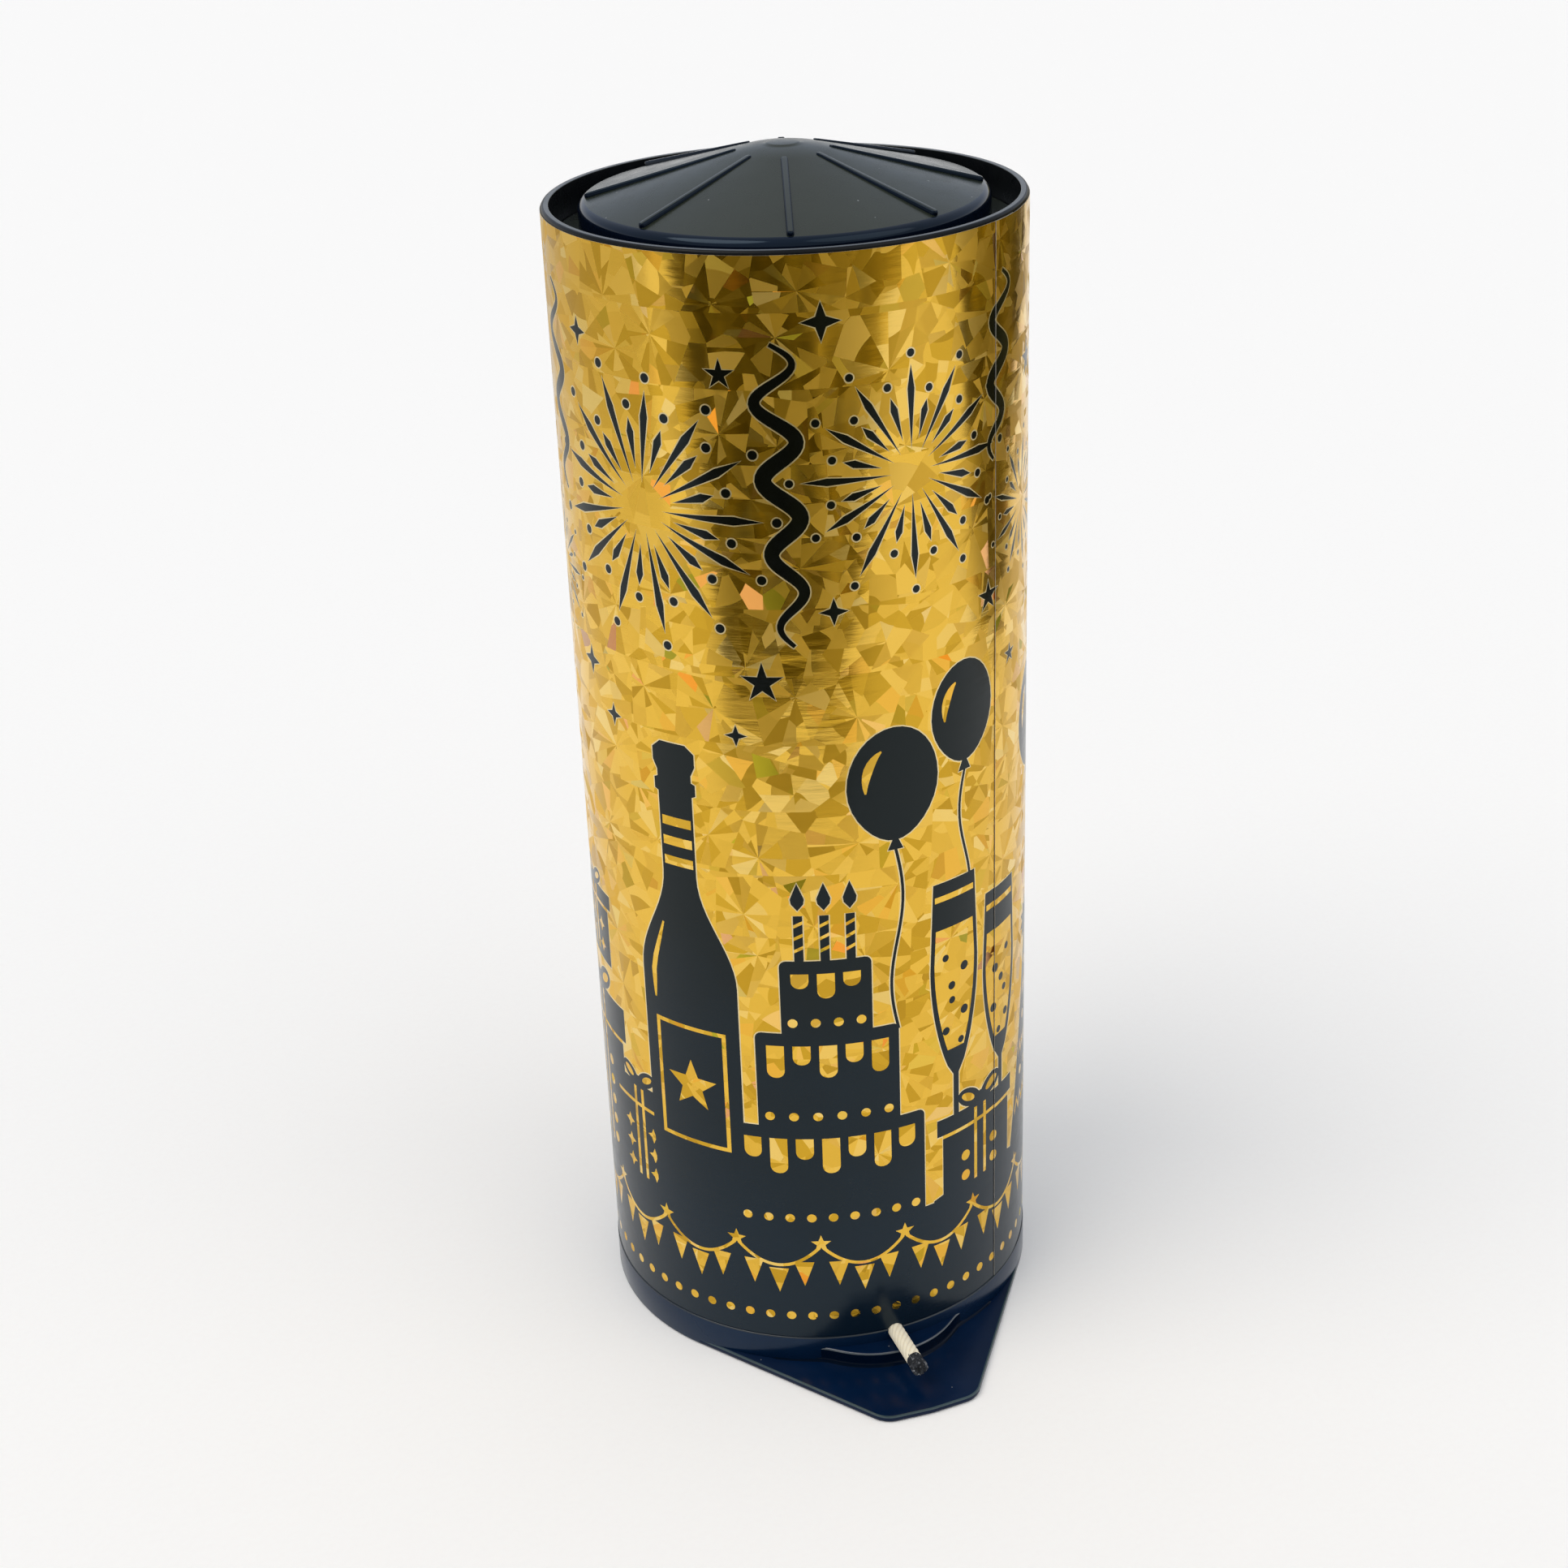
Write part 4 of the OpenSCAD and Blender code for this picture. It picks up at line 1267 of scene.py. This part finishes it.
def add_rib(bm, bearing):
    """A rib with sloped sides and round ends that sinks into the crown towards the middle. Its sides are
    painted near black as shade.
    """
    half_arch = [(1.0, -0.5), (1.0, 0.05), (0.92, 0.45), (0.80, 0.85), (0.62, 1.0)]
    arch = [(-a, b) for a, b in half_arch] + [(0.0, 1.0)] + half_arch[::-1]
    stops = [0.0, 0.06, 0.25, 0.55, 1.0]
    round_end = RIB_WIDTH / 2
    length = (RIB_OUTER - RIB_INNER) / cos(CONE_SLOPE)
    out, side = polar(1, bearing), polar(1, bearing + 90)
    along = out * cos(CONE_SLOPE) - UP * sin(CONE_SLOPE)
    upward = out * sin(CONE_SLOPE) + UP * cos(CONE_SLOPE)
    root = out * RIB_INNER + UP * cone_z(RIB_INNER)
    rings = []
    for station in [round_end * t for t in stops] + [length - round_end * t for t in reversed(stops)]:
        short = max(0.0, 1 - min(station, length - station) / round_end)
        narrow = max(sqrt(1 - short * short), 0.12)
        low = (0.45 + 0.55 * narrow) * min(0.30 + 0.70 * station / (0.35 * length), 1.0)
        middle = root + along * station
        rings.append([middle + side * (a * narrow * RIB_WIDTH / 2) + upward * (b * low * RIB_HEIGHT)
                      for a, b in arch])
    before = len(bm.faces)
    add_loft(bm, rings)
    for face in list(bm.faces)[before:]:
        face.normal_update()
        # The rib's sides get painted shade, its top the glossier top colour.
        face.material_index = RIB_TOP if abs(face.normal.dot(upward)) > 0.95 else RIB_SHADE


def make_lid():
    edge_band, above_brim = 1.45 * MM, 1.0 * MM
    bm = bmesh.new()
    add_lathe(bm, lid_profile(), closed=False)
    for face in bm.faces:
        reach, z = reach_and_height(face)
        # The crown's rounded edge is glossier and painted dark navy as shade.
        if reach > CROWN_R - edge_band and z > BRIM_Z + above_brim:
            face.material_index = POLISHED_SHADE
    for k in range(RIBS):
        add_rib(bm, -90 + RIB_TURN + 360 * k / RIBS)
    make_piece("ribbed_lid", bm, plastics(*LID_PLASTICS), "lid", "lid_plastic", "lid")


# Fuse

FUSE_STRANDS = 8
FUSE_LAY = 13.0 * MM
# Share of the dipped end's length and of its radius, along its side and down into its crater
DIP_PROFILE = ((0.0, 0.80), (0.0, 0.94), (0.1, 0.94), (0.2, 0.95), (0.35, 0.96), (0.5, 0.97), (0.65, 0.99),
               (0.78, 1.02), (0.89, 1.04), (0.96, 1.0), (0.985, 0.88), (0.965, 0.72), (0.925, 0.54),
               (0.90, 0.36), (0.89, 0.18))


def on_circle(a, radius, height):
    return Vector((cos(a) * radius, sin(a) * radius, height))


def strand_phase(a, y):
    return FUSE_STRANDS * (a - TURN * y / FUSE_LAY)


def make_cord():
    """A cord of twisted strands with a frayed end."""
    stations, depth, fuzz, fray_length = 170, 0.09 * MM, 0.03 * MM, 0.7 * MM
    levels = [(y, 0.0) for y in between(FUSE_INNER, FUSE_JOINT, stations)[:-1]]
    levels += [(FUSE_JOINT, part) for part in (0.0, 0.35, 0.7, 1.0)]
    rings, groove_shades = [], []
    for level, part in levels:
        rings.append([])
        for a in angles(64):
            ragged = clamped(0.5 + 0.8 * noise.noise(on_circle(a, 2.6, 4.2)))
            y = level + fray_length * part * ragged
            groove = (0.5 - 0.5 * cos(strand_phase(a, y))) ** 4
            hair = fuzz * noise.noise(on_circle(a, 3, y / MM * 0.9))
            rings[-1].append(fuse_point(FUSE_R - depth * groove + hair - fuzz, a, y))
            # The groove's depth also sets how much painted shade the cord gets there.
            groove_shades.append(groove)
    bm = marked_loft("groove", rings, groove_shades)
    make_piece("twisted_fuse", bm, [fuse_material()], "housing", "fuse_cotton", "fuse_cord", 60)


def make_dip():
    """The fuse's dipped end, with a ragged crater."""
    rings, dip_highlights = [], []
    for t, wide in DIP_PROFILE:
        rings.append([])
        for a in angles(72):
            spot = on_circle(a, 2.2, t * 4.5 + wide)
            rough = 0.11 * noise.noise(spot * 1.3) + 0.06 * noise.noise(spot * 4)
            radius = min(TIP_R * (wide * 0.95 + (rough if t > 0.02 else 0)), TIP_R)
            broken = noise.noise(on_circle(a, wide, 3.1) * 2.6)
            ragged = 0.85 * MM * abs(broken) if t > 0.7 else 0
            y = FUSE_JOINT + (FUSE_END - FUSE_JOINT) * t - ragged
            rings[-1].append(fuse_point(radius, a, y))
            ridge = 0.5 * max(cos(strand_phase(a, y)), 0.0) if t < 0.85 else 0.0
            # Painted highlight: paler on the broken rim of the crater and on the strands' ridges.
            dip_highlights.append(0.45 + 1.1 * broken if wide > 0.85 and t > 0.88 else ridge)
    bm = marked_loft("dip_highlight", rings, dip_highlights)
    make_piece("fuse_dipped_end", bm, [dip_material()], "housing", "fuse_dip", "fuse_tip", 50)


def make_fuse():
    make_cord()
    make_dip()


# Charge and pusher

def make_disc(name, node, body, slot, material, edge, ripple):
    """A soft-edged disc in the space of a node, its faces and rim a little uneven."""
    low, high = heights(node)
    radius = node_radii(node)[1]
    rows = 14
    flat = between(0, radius, rows)[:-1]
    corners = [(r, low) for r in flat] + [(radius, low), (radius, high)] + [(r, high) for r in reversed(flat)]
    edges = [0] * rows + [edge, edge] + [0] * rows
    bm = bmesh.new()
    for vert in add_lathe(bm, round_corners(corners, edges, 5, closed=False), 120, closed=False):
        spot = vert.co / (6 * MM)
        dip = ripple * (0.5 + 0.5 * noise.noise(spot))
        vert.co.z += dip if vert.co.z < (low + high) / 2 else -dip
        reach = hypot(vert.co.x, vert.co.y)
        if reach > radius * 0.9:
            pull = 1 - ripple * (0.5 + 0.5 * noise.noise(spot * 2.5)) / reach
            vert.co.x *= pull
            vert.co.y *= pull
    make_piece(name, bm, [material], body, slot, node, 50)


def make_charge():
    wall, cup_r = 0.35 * MM, node_radii("charge_cup")[1]
    foot, rim = heights("charge_cup")
    corners = [(0, foot), (cup_r, foot), (cup_r, rim), (cup_r - wall, rim), (cup_r - wall, foot + wall),
               (0, foot + wall)]
    edges = [r * MM for r in (0, 1.2, 0.15, 0.15, 0.9, 0)]
    bm = bmesh.new()
    profile = round_corners(corners, edges, 6, closed=False)
    add_drilled(bm, profile, cup_r - 4 * MM, cup_r + 4 * MM, closed=False)
    metal = metal_material("drawn_aluminium", (0.70, 0.71, 0.72), (0.86, 0.87, 0.88), 0.24, 0.4, 0.05)
    make_piece("drawn_cup", bm, [metal], "housing", "cup_foil", "charge_cup")
    wool = fibre_material("propellant_wool", (0.66, 0.60, 0.42), (0.90, 0.86, 0.70), 0.7, 0.4, 0.4)
    make_disc("propellant_wool", "propellant_wad", "housing", "propellant", wool,
              edge=3.2 * MM, ripple=0.9 * MM)
    tissue = fibre_material("seal_tissue", (0.78, 0.76, 0.72), (0.92, 0.91, 0.88), 0.5, 0.05)
    make_disc("seal_tissue_disc", "chamber_seal", "housing", "tissue", tissue,
              edge=0.1 * MM, ripple=0.06 * MM)


def make_pusher():
    board = fibre_material("grey_board", (0.28, 0.26, 0.23), (0.44, 0.41, 0.36), 0.45, 0.06)
    make_disc("pusher_board", "pusher_card", "pusher", "greyboard", board, edge=0.5 * MM, ripple=0.08 * MM)
    felt = fibre_material("wad_felt", (0.20, 0.19, 0.17), (0.42, 0.40, 0.36), 0.6, 0.35, 0.5)
    make_disc("pusher_felt", "felt_wad", "pusher", "felt", felt, edge=1.1 * MM, ripple=0.35 * MM)
    make_disc("lid_board", "lid_card", "lid", "greyboard", board, edge=0.4 * MM, ripple=0.06 * MM)


# Filling

PAPER_TINTS = {"magenta": (0.60, 0.035, 0.29), "red": (0.60, 0.030, 0.025), "yellow": (0.84, 0.58, 0.040),
               "blue": (0.030, 0.15, 0.52), "green": (0.050, 0.38, 0.095)}
PAPERS = tuple(PAPER_TINTS)
PAPER_THICK = 0.3 * MM
ROLLS = 9
HATS = 4
BLOWERS = 3
COIL_R = 14.03 * MM
COIL_NECK = 1.4 * MM
COIL_WIDTH = 11.0 * MM
MOUTH_BORE_R = 3.3 * MM


def paper_material(name, tint, motif):
    """Dyed paper with fibres. The motif is none, slanted stripes or stripes across a strip, in white."""
    s = Surface(name, Roughness=0.75, Sheen_Weight=0.1)
    at = s.place()
    fibre = s.noise(at, 0.5, 5.0, 0.7)
    colour = s.tones(fibre, [c * 0.78 for c in tint], [min(c * 1.12 + 0.01, 1.0) for c in tint])
    along = s.attribute("along")
    dye = s.spread(s.noise(s.joined(along, 0.0), 330.0, 2.0), 0.38, 0.62, 0.0, 0.5)
    colour = s.mixed(dye, colour, rgb(*(c * 0.6 for c in tint)))
    if motif != "none":
        stripe, share = s.over(along, 9.0), 0.5
        if motif == "slant":
            stripe, share = s.plus(s.over(along, 16.0), s.over(s.split(at)[2], 22.0)), 0.42
        pale = s.tones(fibre, (0.80, 0.79, 0.76), (0.90, 0.89, 0.87))
        colour = s.mixed(s.below(s.math("FRACT", stripe), share), colour, pale)
    return s.shade(Base_Color=colour, Normal=s.bump(fibre, 0.03))


def spiral(centre, u, v, inner, outer, turns, per_turn, start=0.0):
    """Stations along a wound strip: place on its inner side, direction outwards, length so far in mm."""
    stations = []
    along = 0.0
    steps = int(turns * per_turn)
    for k in range(steps + 1):
        angle = radians(start) + TURN * turns * k / steps
        radius = inner + (outer - PAPER_THICK - inner) * k / steps
        outward = u * cos(angle) + v * sin(angle)
        stations.append((centre + outward * radius, outward, along))
        along += radius * TURN * turns / steps / MM
    return stations


def make_strip(name, node, paper, motif, stations, across, halves, slip, wave=40.0):
    """A strip of paper of the half widths given, its edges slipping a little from turn to turn."""
    rings, marks = [], []
    for (place, outward, along), half in zip(stations, halves):
        aside = across * (slip * noise.noise(Vector((along / wave, halves[0] * 90, 0.5))))
        back = place + outward * PAPER_THICK
        edges = ((place, -half), (back, -half), (back, half), (place, half))
        rings.append([p + aside + across * w for p, w in edges])
        marks += [along] * len(edges)
    material = paper_material(name + "_" + paper, PAPER_TINTS[paper], motif)
    bm = marked_loft("along", rings, marks)
    make_piece(name, bm, [material], "filling", "paper_" + paper, node, 40)


def make_winding(name, node, paper, motif, inner, turns, per_turn, start, slip, wave=40.0):
    """A strip wound round an upright axis, as large as its node."""
    low, high = heights(node)
    stations = spiral(middle_of(node), EAST, NORTH, inner, half_width(node), turns, per_turn, start)
    halves = [(high - low) / 2 - slip] * len(stations)
    make_strip(name, node, paper, motif, stations, UP, halves, slip, wave)


def make_rolls():
    """Streamers, each a long strip of paper wound into a flat roll."""
    for k in range(1, ROLLS + 1):
        make_winding("wound_streamer_%d" % k, "streamer_roll_%d" % k, PAPERS[k % len(PAPERS)], "none",
                     inner=4.5 * MM, turns=34, per_turn=44, start=70.0 * k, slip=0.4 * MM, wave=170.0)


def make_band(name, node, inner, material):
    """A slightly wavy band of foil."""
    low, high = heights(node)
    thick = half_width(node) - inner
    edge = thick * 0.45
    corners = [(inner, low), (inner + thick, low), (inner + thick, high), (inner, high)]
    centre = middle_of(node)
    centre.z = 0
    bm = bmesh.new()
    for vert in add_lathe(bm, round_corners(corners, (0, edge, edge, 0), 3), 96, centre=centre):
        vert.co.z += 0.1 * MM * noise.noise(vert.co / (5 * MM))
    make_piece(name, bm, [material], "filling", "band_foil", node)


def make_hats():
    """Paper hats rolled into tubes, each held by a band of foil."""
    foil = metal_material("band_foil", (0.62, 0.40, 0.07), (0.84, 0.60, 0.16), 0.16, 0.3, 0.08)
    wall = 2.4 * MM
    for k in range(1, HATS + 1):
        node = "rolled_hat_%d" % k
        outer = half_width(node)
        make_winding("rolled_paper_hat_%d" % k, node, PAPERS[(k + 1) % len(PAPERS)], "slant",
                     inner=outer - wall, turns=4.4, per_turn=72, start=130.0 * k, slip=0.6 * MM)
        make_band("foil_band_%d" % k, "hat_band_%d" % k, outer, foil)


def make_mouthpiece(name, node, material):
    """A waisted tube with a collar."""
    low, high = heights(node)
    radius, ring = half_width(node), 0.35 * MM
    neck, waist = radius - ring, radius - 2 * ring
    corners = [(MOUTH_BORE_R, low), (neck, low), (neck, low + 5 * MM), (waist, low + 8 * MM),
               (neck, high - 12 * MM), (radius, high - 10 * MM), (radius, high - 7 * MM),
               (neck, high - 6 * MM), (neck, high), (MOUTH_BORE_R, high)]
    edges = [r * MM for r in (0.3, 0.5, 1.5, 1.5, 0.8, 0.5, 0.5, 0.5, 0.4, 0.4)]
    centre = middle_of(node)
    centre.z = 0
    bm = bmesh.new()
    add_lathe(bm, round_corners(corners, edges, 4), 64, centre=centre)
    make_piece(name, bm, [material], "filling", "mouthpiece_plastic", node)


def make_coil(name, node, mouth, paper):
    """A wound strip of paper whose outer end runs down into a mouthpiece."""
    slip, steps = 0.15 * MM, 12
    centre = middle_of(mouth)
    outward = Vector((centre.x, centre.y, 0)).normalized()
    low, high = heights(node)
    hub = outward * (centre.xy.length - COIL_R + COIL_NECK / 2)
    hub.z = high - COIL_R
    stations = spiral(hub, outward, UP, inner=2.0 * MM, outer=COIL_R, turns=15, per_turn=48)
    place, out, along = stations[-1]
    coil_half, neck_half = COIL_WIDTH / 2 - slip, MOUTH_BORE_R - 0.4 * MM
    halves = [coil_half] * len(stations)
    for step in range(1, steps + 1):
        down = (hub.z - low) * step / steps
        stations.append((place - UP * down, out, along + down / MM))
        taper = min(down / (hub.z - heights(mouth)[1]), 1.0)
        halves.append(coil_half + (neck_half - coil_half) * eased(taper))
    make_strip(name, node, paper, "across", stations, Vector((-outward.y, outward.x, 0)), halves, slip)


def make_blowers():
    plastic = moulded_plastic("mouthpiece_white")
    for k in range(1, BLOWERS + 1):
        mouth = "blower_mouthpiece_%d" % k
        make_mouthpiece("moulded_mouthpiece_%d" % k, mouth, plastic)
        make_coil("wound_blower_%d" % k, "blower_coil_%d" % k, mouth, PAPERS[(k + 2) % len(PAPERS)])


CONFETTI_LOW, CONFETTI_HIGH = heights("confetti")
CONFETTI_R = node_radii("confetti")[1]
BIT_R = 2.7 * MM
BIT_THICK = 0.12 * MM
BIT_SIDES = 9
BIT_LAYER = 1.3 * MM


def confetti_material(name, pick):
    """Bits of thin paper in party colours; some are foil bright."""
    s = Surface(name, Roughness=0.6)
    at = s.place()
    colours = list(PAPER_TINTS.values()) + [(0.86, 0.85, 0.82), (0.78, 0.50, 0.09)]
    chance = s.attribute("tint") if pick == "piece" else s.split(s.cells(at, 4.5)["Color"])[0]
    fibre = s.noise(at, 0.5, 4.0)
    fade = s.spread(fibre, 0.35, 0.75, 0.0, 0.35)
    colour = s.mixed(fade, s.palette(chance, colours), rgb(0.9, 0.88, 0.86))
    return s.shade(Base_Color=colour, Normal=s.bump(fibre, 0.02))


def add_bit(bm, layer, draw, place, facing):
    """One curled bit of paper that leans about the way it faces and stays in the confetti's space."""
    lean = Vector((draw.uniform(-1, 1), draw.uniform(-1, 1), draw.uniform(-1, 1))) * 0.45
    normal = (facing + lean).normalized()
    u = normal.orthogonal().normalized()
    v = normal.cross(u)
    tint = draw.random()
    size = BIT_R * draw.uniform(0.8, 1.1)
    curl = draw.uniform(-0.25, 0.25)
    rings = []
    for depth in (0, BIT_THICK):
        ring = []
        for a in angles(BIT_SIDES):
            rise = depth + curl * size * cos(a) ** 2
            p = place + (u * cos(a) + v * sin(a)) * size + normal * rise
            reach = hypot(p.x, p.y)
            if reach > CONFETTI_R:
                p.x, p.y = p.x * CONFETTI_R / reach, p.y * CONFETTI_R / reach
            p.z = min(max(p.z, CONFETTI_LOW + depth), CONFETTI_HIGH - BIT_THICK + depth)
            ring.append(bm.verts.new(p))
            ring[-1][layer] = tint
        rings.append(ring)
    low, high = rings
    bm.faces.new(low[::-1])
    bm.faces.new(high)
    for k in range(BIT_SIDES):
        n = (k + 1) % BIT_SIDES
        bm.faces.new((low[k], low[n], high[n], high[k]))


def make_bits():
    """Bits of paper round the side and on both faces of the confetti."""
    side_bits, face_bits, margin, sink = 1500, 420, BIT_R * 0.4, BIT_LAYER * 0.6
    draw = random.Random(11)
    bm = bmesh.new()
    layer = bm.verts.layers.float.new("tint")
    for _ in range(side_bits):
        out = polar(1, draw.uniform(0, 360))
        reach = CONFETTI_R - BIT_LAYER * draw.uniform(0.3, 1.2)
        z = draw.uniform(CONFETTI_LOW + margin, CONFETTI_HIGH - margin)
        add_bit(bm, layer, draw, out * reach + UP * z, out)
    for face_z, facing in ((CONFETTI_LOW + sink, -UP), (CONFETTI_HIGH - sink, UP)):
        for _ in range(face_bits):
            reach = (CONFETTI_R - BIT_R) * sqrt(draw.random())
            spot = polar(reach, draw.uniform(0, 360), face_z + draw.uniform(-0.5, 0.5) * BIT_LAYER)
            add_bit(bm, layer, draw, spot, facing)
    paper = confetti_material("confetti_paper", "piece")
    make_piece("confetti_bits", bm, [paper], "filling", "confetti_paper", "confetti", 30)


def make_core():
    """The lumpy plug under the bits."""
    lump, columns, rows = 0.8 * MM, 8, 16
    radius, low, high = CONFETTI_R - BIT_LAYER, CONFETTI_LOW + BIT_LAYER, CONFETTI_HIGH - BIT_LAYER
    profile = [(radius * k / columns, low) for k in range(columns + 1)]
    profile += [(radius, z) for z in between(low, high, rows)[1:-1]]
    profile += [(radius * (columns - k) / columns, high) for k in range(columns + 1)]
    bm = bmesh.new()
    for vert in add_lathe(bm, profile, 120, closed=False):
        vert.co -= vert.co.normalized() * (lump * (0.5 + 0.5 * noise.noise(vert.co / (3 * MM))))
    paper = confetti_material("confetti_deep", "cell")
    make_piece("confetti_core", bm, [paper], "filling", "confetti_paper", "confetti", 30)


def make_confetti():
    make_bits()
    make_core()


make_camera()
make_floor()
make_backdrop()
make_light()
make_label()
make_tube()
make_base()
make_lid()
make_fuse()
make_charge()
make_pusher()
make_rolls()
make_hats()
make_blowers()
make_confetti()
